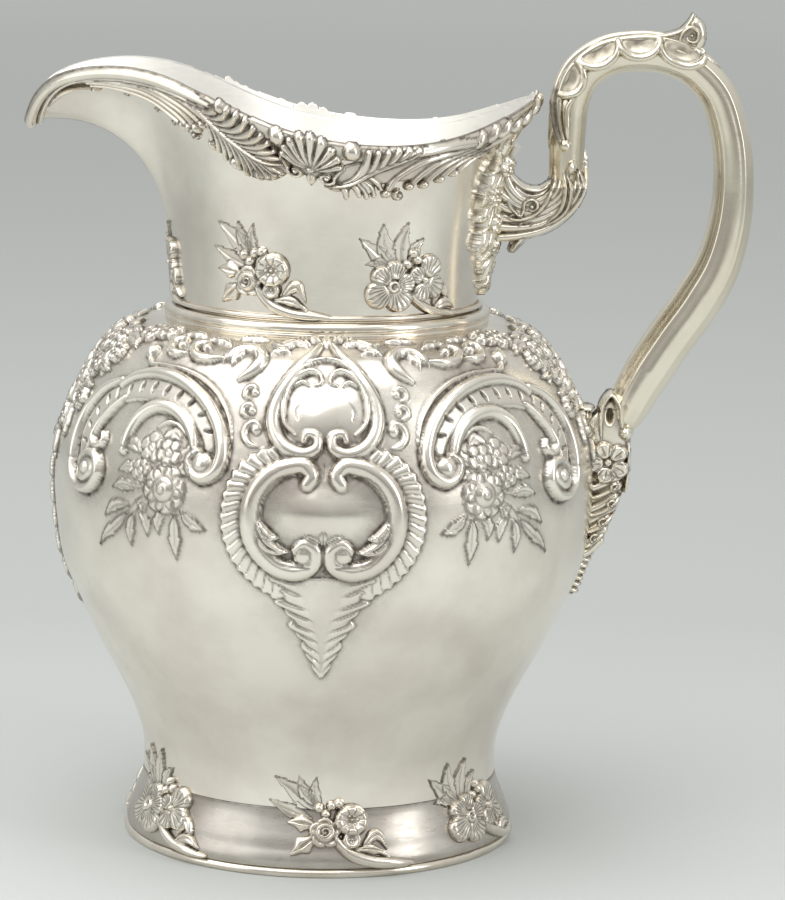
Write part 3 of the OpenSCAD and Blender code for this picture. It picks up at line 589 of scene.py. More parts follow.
def write_mesh(name: str, points: Array, faces: Sequence[Array], oxide_and_shade: Array) -> bpy.types.Object:
    """Makes an object of points and faces.

    Args:
        name: Name of the piece.
        points: Points in millimetres.
        faces: Groups of faces, each an array of one corner count.
        oxide_and_shade: Darkness of each point.

    Returns:
        The new object, shaded smooth.
    """
    mesh = bpy.data.meshes.new(name)
    corners = np.concatenate([f.ravel() for f in faces]).astype(np.int32)
    totals = np.concatenate([np.full(len(f), f.shape[1]) for f in faces]).astype(np.int32)
    starts = np.concatenate([[0], np.cumsum(totals)[:-1]]).astype(np.int32)
    mesh.vertices.add(len(points))
    mesh.vertices.foreach_set("co", (points * MM).astype(np.float32).ravel())
    mesh.loops.add(len(corners))
    mesh.loops.foreach_set("vertex_index", corners)
    mesh.polygons.add(len(totals))
    mesh.polygons.foreach_set("loop_start", starts)
    mesh.polygons.foreach_set("use_smooth", np.ones(len(totals), bool))
    mesh.update(calc_edges=True)
    stain_and_shade(mesh, oxide_and_shade)
    piece = bpy.data.objects.new(name, mesh)
    bpy.context.scene.collection.objects.link(piece)
    return piece


def stain_and_shade(mesh: bpy.types.Mesh, oxide_and_shade: Array) -> None:
    """Stores the darkness of each point of a mesh."""
    layer = mesh.attributes.get(OXIDE_AND_SHADE) or mesh.attributes.new(OXIDE_AND_SHADE, "FLOAT", "POINT")
    layer.data.foreach_set("value", np.asarray(oxide_and_shade, np.float32))


def casting(name: str, relief: Relief, place: Place, sink: float, dark: Array,
            columns: Point = (-1e9, 1e9), flip: bool = False) -> bpy.types.Object:
    """Cuts out what is drawn on a relief as a closed piece with a flat back.

    Args:
        name: Name of the piece.
        relief: The drawn sheet.
        place: Puts u, v and a height in space.
        sink: Depth of the back below the surface that carries the piece.
        dark: Darkness of each grid point.
        columns: Lowest and highest u of the piece.
        flip: Turns the faces round, for a place that mirrors.

    Returns:
        The new object.
    """
    inside = relief.height > 0
    cell = inside[:-1, :-1] | inside[1:, :-1] | inside[:-1, 1:] | inside[1:, 1:]
    middle = (relief.u[:-1] + relief.u[1:]) / 2
    cell &= ((middle > columns[0]) & (middle < columns[1]))[None, :]
    used = np.zeros(relief.height.shape, bool)
    for i in (0, 1):
        for j in (0, 1):
            used[i: used.shape[0] - 1 + i, j: used.shape[1] - 1 + j] |= cell
    index = np.full(used.shape, -1)
    count = int(used.sum())
    index[used] = np.arange(count)
    row, col = np.nonzero(used)
    u, v = relief.u[col], relief.v[row]
    top = np.maximum(relief.height[used], -0.5 * sink)
    points = np.concatenate([place(u, v, top), place(u, v, np.full(count, -sink))])
    a, b = index[:-1, :-1], index[:-1, 1:]
    c, d = index[1:, 1:], index[1:, :-1]
    faces = [np.stack([a[cell], b[cell], c[cell], d[cell]], 1)]
    faces.append(faces[0][:, ::-1] + count)
    bare = np.pad(~cell, 1, constant_values=True)
    sides = ((bare[:-2, 1:-1], a, b), (bare[2:, 1:-1], c, d), (bare[1:-1, :-2], d, a), (bare[1:-1, 2:], b, c))
    for gone, start, end in sides:
        edge = cell & gone
        p, q = start[edge], end[edge]
        faces.append(np.stack([p + count, q + count, q, p], 1))
    rims = np.concatenate([f[:, 2:] for f in faces[2:]])
    if flip:
        faces = [f[:, ::-1] for f in faces]
    piece = write_mesh(name, points, faces, np.concatenate([dark[used], 0 * dark[used]]))
    which = np.zeros(sum(len(f) for f in faces), np.int32)
    which[len(faces[0]): len(faces[0]) + len(faces[1])] = 1
    piece.data.polygons.foreach_set("material_index", which)
    sharpen(piece.data, rims)
    return piece


def raised_sheet(name: str, relief: Relief, place: Place, wall: float, dark: Array,
                 fine: float, plain: float) -> bpy.types.Object:
    """Makes a closed wall with relief outside, with small faces only where there is detail.

    Args:
        name: Name of the piece.
        relief: The drawn sheet.
        place: Puts u, v and a height in space.
        wall: Thickness of the wall.
        dark: Darkness of each grid point.
        fine: Change of height between grid points that asks for the finest faces.
        plain: Change of height below which faces are coarse.

    Returns:
        The new object.
    """
    h = relief.height
    change = np.zeros_like(h)
    for axis in (0, 1):
        bend = np.maximum(np.abs(np.diff(h, 2, axis=axis)), DARK_RISE * np.abs(np.diff(dark, 2, axis=axis)))
        pad = [(0, 0), (0, 0)]
        pad[axis] = (1, 1)
        change = np.maximum(change, np.pad(bend, pad))
    change = np.maximum(change, blurred(change, 1) * 1.5)
    rows, cols = np.indices(h.shape)
    rim = (rows == 0) | (cols == 0) | (rows == h.shape[0] - 1) | (cols == h.shape[1] - 1)
    slight, bare, inside = ((rows % n == 0) & (cols % n == 0) for n in (SLIGHT, BARE, INNER))
    keep = rim | (change > fine) | slight & (blurred(change, 2) > plain) | bare
    skins, indexes, base = [], [], 0
    points, oxide_and_shade = [], []
    for skin, chosen in ((0, keep), (1, rim | inside)):
        r, c = np.nonzero(chosen)
        flat = [(float(x), float(y)) for x, y in zip(c, r)]
        _, _, faces, *_ = delaunay_2d_cdt(flat, [], [], 0, 1e-6)
        faces = np.array(faces)
        e, f = (np.stack([c, r], 1)[faces[:, k]] - np.stack([c, r], 1)[faces[:, 0]] for k in (1, 2))
        turn = e[:, 0] * f[:, 1] - e[:, 1] * f[:, 0]
        faces[turn < 0] = faces[turn < 0][:, ::-1]
        faces = faces[turn != 0]
        height = np.full(len(r), -wall) if skin else h[chosen]
        points.append(place(relief.u[c], relief.v[r], height))
        oxide_and_shade.append(np.zeros(len(r)) if skin else dark[chosen])
        skins.append((faces[:, ::-1] if skin else faces) + base)
        index = np.full(h.shape, -1)
        index[chosen] = np.arange(len(r)) + base
        indexes.append(index)
        base += len(r)
    last = (h.shape[0] - 1, h.shape[1] - 1)
    walk = [(0, j) for j in range(last[1])] + [(i, last[1]) for i in range(last[0])]
    walk += [(last[0], j) for j in range(last[1], 0, -1)] + [(i, 0) for i in range(last[0], 0, -1)]
    walk = np.array(walk)
    outer, inner = (index[walk[:, 0], walk[:, 1]] for index in indexes)
    strip = np.stack([inner, np.roll(inner, -1), np.roll(outer, -1), outer], 1)
    piece = write_mesh(name, np.concatenate(points), [*skins, strip], np.concatenate(oxide_and_shade))
    sharpen(piece.data, np.concatenate([strip[:, :2], strip[:, 2:]]))
    return piece


def sharpen(mesh: bpy.types.Mesh, pairs: Array) -> None:
    """Marks edges as sharp, given as pairs of points, so that a wall's edge doesn't shade its face."""
    ends = np.zeros(len(mesh.edges) * 2, np.int32)
    mesh.edges.foreach_get("vertices", ends)
    ends = np.sort(ends.reshape(-1, 2), axis=1)
    key = ends[:, 0].astype(np.int64) * len(mesh.vertices) + ends[:, 1]
    pairs = np.sort(pairs, axis=1).astype(np.int64)
    layer = mesh.attributes.get("sharp_edge") or mesh.attributes.new("sharp_edge", "BOOLEAN", "EDGE")
    layer.data.foreach_set("value", np.isin(key, pairs[:, 0] * len(mesh.vertices) + pairs[:, 1]))


def wrapped_grid(name: str, columns: int, rows: int, place: Surface) -> bpy.types.Object:
    """Adds a grid and wraps it on a surface, with its seams merged.

    Args:
        name: Name of the piece.
        columns: Faces across.
        rows: Faces up.
        place: Gives the point in millimetres for the two shares across and up.

    Returns:
        The new object, active and selected alone.
    """
    deselect()
    bpy.ops.mesh.primitive_grid_add(x_subdivisions=columns, y_subdivisions=rows, size=1)
    piece = bpy.context.object
    piece.name = piece.data.name = name
    flat = np.zeros(len(piece.data.vertices) * 3)
    piece.data.vertices.foreach_get("co", flat)
    shares = flat.reshape(-1, 3)[:, :2] + 0.5
    piece.data.vertices.foreach_set("co", (place(shares[:, 0], shares[:, 1]) * MM).ravel())
    bpy.ops.object.mode_set(mode="EDIT")
    bpy.ops.mesh.select_all(action="SELECT")
    bpy.ops.mesh.remove_doubles(threshold=1e-6)
    bpy.ops.object.mode_set(mode="OBJECT")
    bpy.ops.object.shade_smooth()
    return piece


def apply_modifier(piece: bpy.types.Object, kind: str, **settings: object) -> None:
    """Adds a modifier with its settings and applies it."""
    deselect()
    piece.select_set(True)
    bpy.context.view_layer.objects.active = piece
    modifier = piece.modifiers.new(kind.title(), kind)
    for key, value in settings.items():
        setattr(modifier, key, value)
    bpy.ops.object.modifier_apply(modifier=modifier.name)


def joined(name: str, pieces: Sequence[bpy.types.Object]) -> bpy.types.Object:
    """Joins pieces into one object of that name."""
    deselect()
    for piece in pieces:
        piece.select_set(True)
    bpy.context.view_layer.objects.active = pieces[0]
    bpy.ops.object.join()
    pieces[0].name = pieces[0].data.name = name
    return pieces[0]


def turned_ring(name: str, outline: Path, closed: bool, segments: int = 192) -> bpy.types.Object:
    """Turns an outline round the axis, ring by ring, as on a lathe.

    Args:
        name: Name of the piece.
        outline: Radius and height of each ring, in order.
        closed: Joins the last ring to the first.
        segments: Faces round each ring.

    Returns:
        The new object, with its faces outwards.
    """
    deselect()
    radius, height = outline[0]
    bpy.ops.mesh.primitive_circle_add(vertices=segments, radius=radius * MM, location=(0, 0, height * MM))
    piece = bpy.context.object
    piece.name = piece.data.name = name
    bpy.ops.object.transform_apply(location=True, rotation=True, scale=True)
    bpy.ops.object.mode_set(mode="EDIT")
    bpy.ops.mesh.select_all(action="SELECT")
    for r, z in list(outline[1:]) + ([outline[0]] if closed else []):
        bpy.ops.mesh.extrude_region_move(TRANSFORM_OT_translate={"value": (0, 0, (z - height) * MM)})
        share = r / radius
        bpy.ops.transform.resize(value=(share, share, 1), center_override=(0, 0, 0))
        radius, height = r, z
    bpy.ops.mesh.select_all(action="SELECT")
    bpy.ops.mesh.remove_doubles(threshold=1e-6)
    bpy.ops.mesh.normals_make_consistent(inside=False)
    bpy.ops.object.mode_set(mode="OBJECT")
    bpy.ops.object.shade_smooth()
    return piece


def hand_over(piece: bpy.types.Object, finish: "SilverFinish", *nodes: str,
              lining: Optional["SilverFinish"] = None) -> None:
    """Dresses a piece, sets it on the body and lets it stand for its solids.

    Args:
        piece: The piece, in place.
        finish: Its finish.
        *nodes: Solids that it stands for.
        lining: Finish of its inner face, if that differs.
    """
    if OXIDE_AND_SHADE not in piece.data.attributes:
        stain_and_shade(piece.data, np.zeros(len(piece.data.vertices)))
    which = np.zeros(len(piece.data.polygons), np.int32)
    piece.data.polygons.foreach_get("material_index", which)
    piece.data.materials.clear()
    piece.data.materials.append(finish.material())
    if lining:
        piece.data.materials.append(lining.material())
    piece.data.polygons.foreach_set("material_index", which * bool(lining))
    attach(piece, BODY)
    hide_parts(*nodes)
    LOG.info("%s: %d faces, for %s", piece.name, len(piece.data.polygons), ", ".join(nodes))


def linear(colour: str) -> tuple[float, float, float, float]:
    """Turns an sRGB hex colour into linear values."""
    parts = [int(colour[i: i + 2], 16) / 255 for i in (1, 3, 5)]
    return (*(c / 12.92 if c <= 0.04045 else ((c + 0.055) / 1.055) ** 2.4 for c in parts), 1.0)


@dataclass
class Nodes:
    """Adds nodes to the tree of a material or a world, each fed by outputs of those before.

    Attributes:
        owner: The material or world.
    """

    owner: bpy.types.ID

    def __post_init__(self) -> None:
        """Gives the owner its tree."""
        self.owner.use_nodes = True
        self.tree = self.owner.node_tree

    def fill(self, node: bpy.types.Node, inputs: dict) -> None:
        """Sets the inputs of a node, by name or place, to values or to outputs of other nodes."""
        for key, value in inputs.items():
            if isinstance(value, bpy.types.NodeSocket):
                self.tree.links.new(value, node.inputs[key])
            else:
                node.inputs[key].default_value = value

    def add(self, kind: str, inputs: dict, output: Union[int, str] = 0, **settings: object) -> Socket:
        """Adds a node.

        Args:
            kind: Type name of the node, without its first part.
            inputs: Values or outputs for its inputs, by name or place.
            output: Name or place of the output to give.
            **settings: Properties of the node.

        Returns:
            That output.
        """
        node = self.tree.nodes.new(f"ShaderNode{kind}")
        for key, value in settings.items():
            setattr(node, key, value)
        self.fill(node, inputs)
        return node.outputs[output]

    def noise(self, place: Socket, size: float, detail: float, roughness: float = 0.5) -> Socket:
        """Adds noise with patches of a size."""
        inputs = {"Vector": place, "Scale": 1 / (size * MM), "Detail": detail, "Roughness": roughness}
        return self.add("TexNoise", inputs, "Fac")

    def spread(self, value: Socket, span: Point, least: float = 0.0, most: float = 1.0,
               interpolation: str = "LINEAR") -> Socket:
        """Spreads the values of a span from the least to the most."""
        inputs = {"Value": value, "From Min": span[0], "From Max": span[1], "To Min": least, "To Max": most}
        return self.add("MapRange", inputs, "Result", interpolation_type=interpolation)

    def mix(self, share: Socket, first: Union[str, Socket], second: Union[str, Socket]) -> Socket:
        """Mixes two colours, each a hex value or an output."""
        a, b = (linear(colour) if isinstance(colour, str) else colour for colour in (first, second))
        return self.add("Mix", {0: share, 6: a, 7: b}, 2, data_type="RGBA")


@dataclass(frozen=True)
class SilverFinish:
    """Sterling silver, polished by hand and worn: bright, faintly warm, dark in its recesses.

    Attributes:
        name: Name of the material.
        slot: Slot of the record; not used.
        bright: Colour of the clean metal.
        tarnish: Colour where a thin bloom of tarnish has grown.
        oxide_and_shade: Colour of the sulphide left in the recesses, and of the painted shade that the same
            darkness carries.
        roughness: Roughness of the clean metal.
        bloom: Greatest share of tarnish.
        bloom_size: Size of the patches of tarnish.
        dent_size: Spacing of the planishing marks.
        dent_depth: Depth of those marks.
    """

    name: str
    slot: str
    bright: str
    tarnish: str
    oxide_and_shade: str
    roughness: float
    bloom: float
    bloom_size: float
    dent_size: float
    dent_depth: float

    def material(self) -> bpy.types.Material:
        """Builds the material once, and then gives the same one."""
        found = bpy.data.materials.get(self.name)
        if found:
            return found
        made = bpy.data.materials.new(self.name)
        nodes = Nodes(made)
        place = nodes.add("TexCoord", {}, "Object")
        bloom = nodes.spread(nodes.noise(place, self.bloom_size, 5.0, 0.6), (0.4, 0.68), most=self.bloom)
        metal = nodes.mix(bloom, self.bright, self.tarnish)
        dark = nodes.add("Attribute", {}, "Fac", attribute_name=OXIDE_AND_SHADE)
        uneven = nodes.spread(nodes.noise(place, 2.2, 3.0), (0.25, 0.7), 0.55)
        settled_and_shade = nodes.add("Math", {0: dark, 1: uneven}, operation="MULTIPLY")
        # Fine polishing scratches, about 0.5 mm apart, run round the piece; they are drawn coarser than real.
        stretched = nodes.add("Mapping", {"Vector": place, "Scale": (0.25, 0.25, 2.0)})
        scratch = nodes.noise(stretched, 1.2, 4.0, 0.7)
        worn = nodes.spread(scratch, (0.3, 0.75), self.roughness * 0.8, self.roughness * 1.35)
        dents = nodes.noise(place, self.dent_size, 1.0)
        bump = nodes.add("Bump", {"Height": dents, "Strength": 1.0, "Distance": self.dent_depth * MM})
        fine = {"Height": scratch, "Strength": 0.12, "Distance": 0.02 * MM, "Normal": bump}
        nodes.fill(nodes.tree.nodes["Principled BSDF"], {
            "Metallic": 1.0,
            "Base Color": nodes.mix(settled_and_shade, metal, self.oxide_and_shade),
            "Roughness": nodes.add("Math", {0: settled_and_shade, 1: 0.35, 2: worn}, operation="MULTIPLY_ADD"),
            "Normal": nodes.add("Bump", fine),
        })
        return made


# Raised sheet keeps soft planishing marks under the polish and a pinkish-grey bloom of tarnish.
RAISED = SilverFinish("Sterling_silver_raised_and_planished", "raised_silver", "#F5F0E5", "#DAD0C6",
                      "#4A423B", 0.19, 0.7, 30.0, 7.0, 0.05)
# The foot is rubbed dull by polishing cloths and shows only soft reflections; its colours are painted darker
# than the body's, as painted shade for the dark surroundings that it reflects.
SATIN_AND_SHADE = SilverFinish("Sterling_silver_rubbed_satin_painted_darker", "raised_silver", "#CBC6BE", "#A9A097", "#4A423B",
                     0.3, 0.8, 24.0, 9.0, 0.05)
# The inside of the neck is frosted by pickling and isn't polished; its colours are painted white, without
# tarnish, as painted light for the bright light that falls inside it.
LINING = SilverFinish("Sterling_silver_frosted_inside_painted_white", "raised_silver", "#F8F5EE", "#F2EEE4", "#8A857C",
                      0.42, 0.3, 30.0, 7.0, 0.03)
# Castings are polished on their crowns and hold dark sulphide in every recess.
CAST = SilverFinish("Sterling_silver_cast_and_chased", "cast_silver", "#EDE7DB", "#CCBFB0", "#37302A",
                    0.18, 0.5, 18.0, 3.0, 0.02)
# The castings that carry the handle are warmer: rubbed bright, over brown recesses.
WARM = SilverFinish("Sterling_silver_cast_rubbed_bright", "cast_silver", "#F5EFE2", "#DACFBA", "#453728",
                    0.19, 0.5, 18.0, 3.0, 0.02)
# The handle is worn by hands: smoother, and yellower.
HANDLE = SilverFinish("Sterling_silver_worn_smooth", "handle_silver", "#ECE5D5", "#CFC5AE", "#463D30",
                      0.17, 0.5, 30.0, 9.0, 0.04)


@dataclass
class ChasedBody:
    """The raised body: a front and a back half with the same chased ornament, in one wall.

    Attributes:
        foot_z: Height of the body's lower edge.
        waist_r: Radius there.
        belly_z: Height of the widest part.
        belly_r: Radius there.
        top_z: Height of the upper edge.
        top_r: Radius there.
        wall: Thickness of the sheet.
        step: Spacing of the relief's grid.
        fine: Change of height between grid points that asks for the finest faces.
        plain: Change of height below which faces are coarse.
        lower: Width and height shares from the waist to the belly.
        upper: Width and height shares from the belly to the upper edge.
    """

    foot_z: float = 19.65
    waist_r: float = 54.2
    belly_z: float = 112.0
    belly_r: float = 82.0
    top_z: float = 159.3
    top_r: float = 44.3
    wall: float = 1.1
    step: float = 0.4
    fine: float = 0.08
    plain: float = 0.025
    lower: Path = ((0, 0), (0.005, 0.1), (0.1, 0.2), (0.3, 0.33), (0.515, 0.45), (0.715, 0.58), (0.89, 0.7),
                   (0.975, 0.85))
    upper: Path = ((1, 0), (0.966, 0.207), (0.9, 0.36), (0.814, 0.516), (0.708, 0.68), (0.602, 0.803),
                   (0.47, 0.9), (0.324, 0.958), (0.178, 0.987), (0, 1))

    def __post_init__(self) -> None:
        """Works out the outline and its running length from the belly."""
        low = between((self.waist_r, self.foot_z), (self.belly_r, self.belly_z), self.lower)
        high = between((self.top_r, self.belly_z), (self.belly_r, self.top_z), self.upper)
        self.outline = through(low + high, 0.1)
        run = running(self.outline)
        self.run = run - np.interp(self.belly_z, self.outline[:, 1], run)
        self.bottom, self.top = float(self.run[0]), float(self.run[-1])

    def radius(self, v: Array) -> Array:
        """Gives the radius at the run v above the belly."""
        return np.interp(v, self.run, self.outline[:, 0])

    def point(self, u: Array, v: Array) -> Array:
        """Gives the point at the arc u round the belly, from the front, and the run v."""
        return turned(self.radius(v), u / self.belly_r, np.interp(v, self.run, self.outline[:, 1]))

    def chase(self) -> Relief:
        """Draws the ornament of one half, as wide as half of the belly."""
        side = PI / 2 * self.belly_r
        sheet = Relief((-side, self.bottom), (side, self.top), self.step, 0.0, (0.0,),
                       lambda v: float(self.radius(v)) / self.belly_r, 0.75)
        self.chase_frill(sheet)
        self.chase_cartouche(sheet)
        self.chase_canopy(sheet)
        self.chase_flowers(sheet)
        self.chase_shoulder(sheet)
        self.chase_garland(sheet, side)
        return sheet

    def chase_frill(self, sheet: Relief) -> None:
        """Draws the fluted ribbon round the lower frame, and the leaf that hangs from it."""
        ribbon = through([(-8.6, 17.4), (-14.6, 17.2), (-21, 14.4), (-25.2, 8.6), (-26.7, 1), (-26.2, -5.4),
                          (-23.8, -11.4), (-19, -16.8), (-13, -20.6)], 0.6)
        count, lobes, ripples = 19, 4.2, 9
        places = (0, 0.003, 0.17, 0.32, 0.44, 0.58, 0.71, 0.88, 1)
        widths = (0.3, 13.6, 12.2, 10.2, 8.6, 6.6, 5, 2.9, 0.6)

        def pleat(share: Array) -> Array:
            """Gives one rounded pleat after another, with sharp valleys between."""
            return np.sqrt(1 - 0.98 * (2 * np.mod(share + 0.5, 1) - 1) ** 2)

        def band(t: Array) -> Array:
            """Gives half the width of the ribbon."""
            return (1.6 + 1.5 * np.clip(t / 0.12, 0, 1)) * (1 + 0.13 * np.cos(2 * PI * count * t))

        def folds(x: Array, t: Array) -> Array:
            """Gives the pleats of the ribbon."""
            return pleat(count * t + 0.3 * np.sin(1.6 * x))

        def flutes(x: Array, t: Array) -> Array:
            """Gives the height of the ribbon."""
            return (0.5 + 1 * folds(x, t) * (0.8 - 0.2 * x)) * np.sqrt(1 - x**10)

        def edge(t: Array) -> Array:
            """Gives half the width of the leaf."""
            return np.interp(t, places, widths) * (
                1 + 0.1 * np.cos(2 * PI * lobes * t) + 0.06 * np.cos(2 * PI * ripples * t))

        def fan(x: Array, t: Array) -> Array:
            """Gives the pleats of the leaf."""
            return pleat(ripples * t + 1.7 * (np.abs(x) - 1) * (1 - 0.3 * t))

        def smooth(x: Array, t: Array) -> Array:
            """Keeps the leaf's middle smooth, more so near its root."""
            return np.clip((np.abs(x) - 0.08 - 0.45 * (1 - t) ** 2) / 0.3, 0, 1)

        def leaf(x: Array, t: Array) -> Array:
            """Gives the height of the leaf."""
            return (0.9 + smooth(x, t) * (1.25 * fan(x, t) - 0.7)) * np.sqrt(1 - np.abs(x) ** 12)

        sheet.stroke(ribbon, band, flutes)
        # Dark lines painted into the valleys between the ribbon's pleats: painted shade.
        sheet.stroke(ribbon, band, lambda x, t: 0.9 * np.clip(1.6 - 3.2 * folds(x, t), 0, 1) * (x > -0.75),
                     Mode.MARK)
        hang = [(0, -17.5), (0, -50.8)]
        sheet.lone.stroke(hang, edge, leaf)
        # Dark lines painted into the valleys between the leaf's flutes: painted shade.
        sheet.lone.stroke(hang, edge, lambda x, t: 0.9 * np.clip(1.75 - 2.4 * fan(x, t), 0, 1) * smooth(x, t),
                          Mode.MARK)

    def chase_cartouche(self, sheet: Relief) -> None:
        """Draws the heart above and the rounded frame below, with their smooth fields."""
        sheet.lone.swell((0, 0.5), 21, 1.6, 15.5)
        sheet.lone.swell((0, 0.9), 15, 1.2, 9)
        sheet.lone.swell((0, 30.5), 13.5, 1.7, 11.5)
        heart = [(-2.2, 55.4), (-5, 50.4), (-9.2, 45.4), (-12.8, 40), (-15.7, 34.6), (-16.7, 29.6),
                 (-15.8, 25), (-13.2, 21.2), (-9.6, 18.9), (-5.6, 18.5), (-2.4, 20.4), (-2.6, 23.6),
                 (-5.6, 24.2), (-6.4, 22.4)]
        sheet.ridge(heart, 4.4, 2.3, (0.4, 0.5))
        sheet.curl((-5.6, 58.6), 1.9, -30, 1.1, 1.6, 1.9, [(-1.4, 55.4)])
        sheet.curl((-10.8, 57.8), 1.7, -30, 1.1, 1.5, 1.7, [(-6.8, 55.2)])
        sheet.lone.leaf([(0, 54.4), (0, 61.4)], 3.2, 1.9)
        sheet.line([(-12, 42.8), (-16.9, 35.4), (-19, 28.6), (-16.8, 20.8), (-10.6, 16.4)], 0.9, 0.4)
        sheet.line([(-4, 47), (-9.6, 41.4), (-13.2, 35.4), (-13.8, 29.4), (-12, 24.6), (-8, 21.6)], 0.8,
                   0.3)
        sheet.ridge([(-9.4, 24), (-12.8, 27.4), (-13.6, 33), (-12.2, 38.4), (-8.8, 42.2), (-4.8, 43.6),
                     (-2, 42.2), (-1.6, 39.6), (-3.8, 39)], 1.9, 1.7)
        sheet.ridge([(-10.2, 42.6), (-5.4, 46.6), (0, 47.8)], 1.5, 1.7, (0.4, 1))
        sheet.line([(-7.8, 33.4), (-9.4, 31), (-8.6, 28)], 0.7, 0.3)
        sheet.ridge([(-10.6, 38.4), (-7.6, 40), (-5.6, 38.6)], 1.2, 1.2)
        sheet.lone.line([(0, 15.4), (0.1, 11)], 0.6, 0.3)
        frame_line = [(-4.9, 9.6), (-3.6, 12.2), (-5.6, 14.7), (-10.4, 14.6), (-15.8, 11.9), (-19.8, 6.6),
                      (-21.1, 0), (-20.2, -6.4), (-17, -11.3), (-12.2, -14.6), (-7, -15.2), (-2.9, -12.9),
                      (-2.4, -9), (-5.2, -7.2), (-7.6, -9.2), (-6.2, -11.2)]
        sheet.ridge(frame_line, 6.2, 3.1, (0.72, 0.4))
        sheet.boss((-5.3, -10.6), 3.4, 2.6)
        sheet.line([(-7, 12), (-12.6, 11.2), (-17, 6.8), (-18.6, 0.4), (-17.8, -4.8), (-14.8, -9.4),
                    (-9.6, -12.4)], 0.7, 0.35)
        sheet.line([(-3.6, -13.6), (-7.4, -13.6), (-12.4, -12.8), (-16, -9.8)], 0.7, 0.35)
        sheet.leaf([(-18.6, -4.4), (-15.2, -8.2), (-9.6, -9.6)], 4.2, 3.2)
        sheet.leaf([(-18.4, -1), (-16.2, -4.8), (-12.2, -5.8)], 3, 2.8)
        sheet.lone.leaf([(0, -8.2), (0, -2.2)], 2.6, 2.4)
        sheet.leaf([(-0.4, -7.4), (-3.4, -5.4), (-6.2, -4.4)], 2.2, 2.1)
        sheet.ridge([(-0.6, -7.6), (-3.6, -6.8), (-5.8, -5.8)], 1.3, 1.8)

    def chase_canopy(self, sheet: Relief) -> None:
        """Draws the hood of scrolls at the left, with its channel of slots."""
        channel = [(-77, 30.4), (-67.8, 33.6), (-60.2, 34), (-53.8, 33.4), (-46.5, 31.6), (-40.4, 28.2),
                   (-37, 24), (-35.6, 19)]
        sheet.bed(channel, 8.8, (0.7, 0.4))
        sheet.ridge([(-73.4, 44.2), (-70.6, 41.6), (-63, 41.4), (-53.5, 41), (-43.6, 38.6), (-35.8, 34),
                     (-31, 28), (-28.8, 20.7)], 1.7, 1.4, (1, 0.3))
        sheet.boss((-74, 45.4), 2.5, 2.3)
        sheet.ridge([(-67.2, 14.6), (-66.8, 20.4), (-64.4, 25.4), (-58.8, 28.8), (-51.4, 28.6), (-45, 25.2),
                     (-41.6, 20.6), (-40.4, 17.2)], 4.4, 2.2, (0.75, 0.5))
        sheet.ridge([(-56, 22.4), (-52, 24.6), (-47, 23.6), (-43.4, 20.6)], 1.4, 1.3)
        hood = [(-78.6, 33), (-75, 35.6), (-68.6, 37.8), (-57.5, 38.4), (-46.4, 35.4), (-37.6, 29.8),
                (-32.8, 23.2), (-31, 16.6), (-32.6, 11.6), (-36.4, 9.7), (-40.2, 11.6), (-41.2, 14.8),
                (-39.2, 16.8)]
        sheet.ridge(hood, 4.4, 2.8, (0.6, 0.7))
        sheet.boss((-36.8, 13.6), 3.5, 2.9)
        self.slot_row(sheet, channel, 8)
        gully = [(-78, 31), (-82.6, 27.8), (-86.6, 22.6), (-88.4, 16.2), (-88, 12)]
        sheet.bed(gully, 7.2, (0.6, 0.6))
        sheet.ridge([(-79.6, 34.6), (-88.2, 30.2), (-93.6, 23.6), (-94.8, 16), (-93.6, 10), (-92.6, 6.4)],
                    3.6, 2.6, (0.5, 0.7))
        self.slot_row(sheet, gully, 5)
        sheet.ridge([(-74.4, 29.6), (-79, 25), (-82.8, 19.8), (-83.6, 15.6), (-80.2, 13.6), (-77.4, 15.8),
                     (-78.4, 17.8)], 2.8, 2.3, (0.5, 0.7))
        sheet.ridge([(-92.8, 7.6), (-90.6, 3.4), (-85.2, 0.9), (-79.2, 2.2), (-76.2, 6.8), (-78.8, 10.8),
                     (-83.6, 11), (-86.4, 8.2), (-84.6, 5.6)], 3.3, 2.8, (0.8, 0.6))
        sheet.boss((-83.6, 6), 6.4, 2.3, 5, 60)
        sheet.boss((-82.8, 7), 2.4, 3)
        sheet.line([(-90.4, 8.4), (-88, 3.8), (-83.4, 2.6), (-79.6, 5)], 0.8, 0.4)

    def slot_row(self, sheet: Relief, path: Path, count: int) -> None:
        """Punches a row of oval slots across a channel."""
        line = through(path, 0.5)
        for share in np.linspace(0.08, 0.92, count):
            i = int(share * (len(line) - 2))
            way = line[i + 1] - line[i]
            angle = math.degrees(math.atan2(way[1], way[0])) + 72
            sheet.swell(tuple(line[i]), 2.2, -1.1, 0.85, angle)
            way = 1.5 * heading(math.radians(angle))
            sheet.stroke([line[i] - way, line[i] + way], lambda t: 0.6 + 0 * t,
                         lambda x, t: 0.95 - 0.5 * x * x, Mode.MARK)

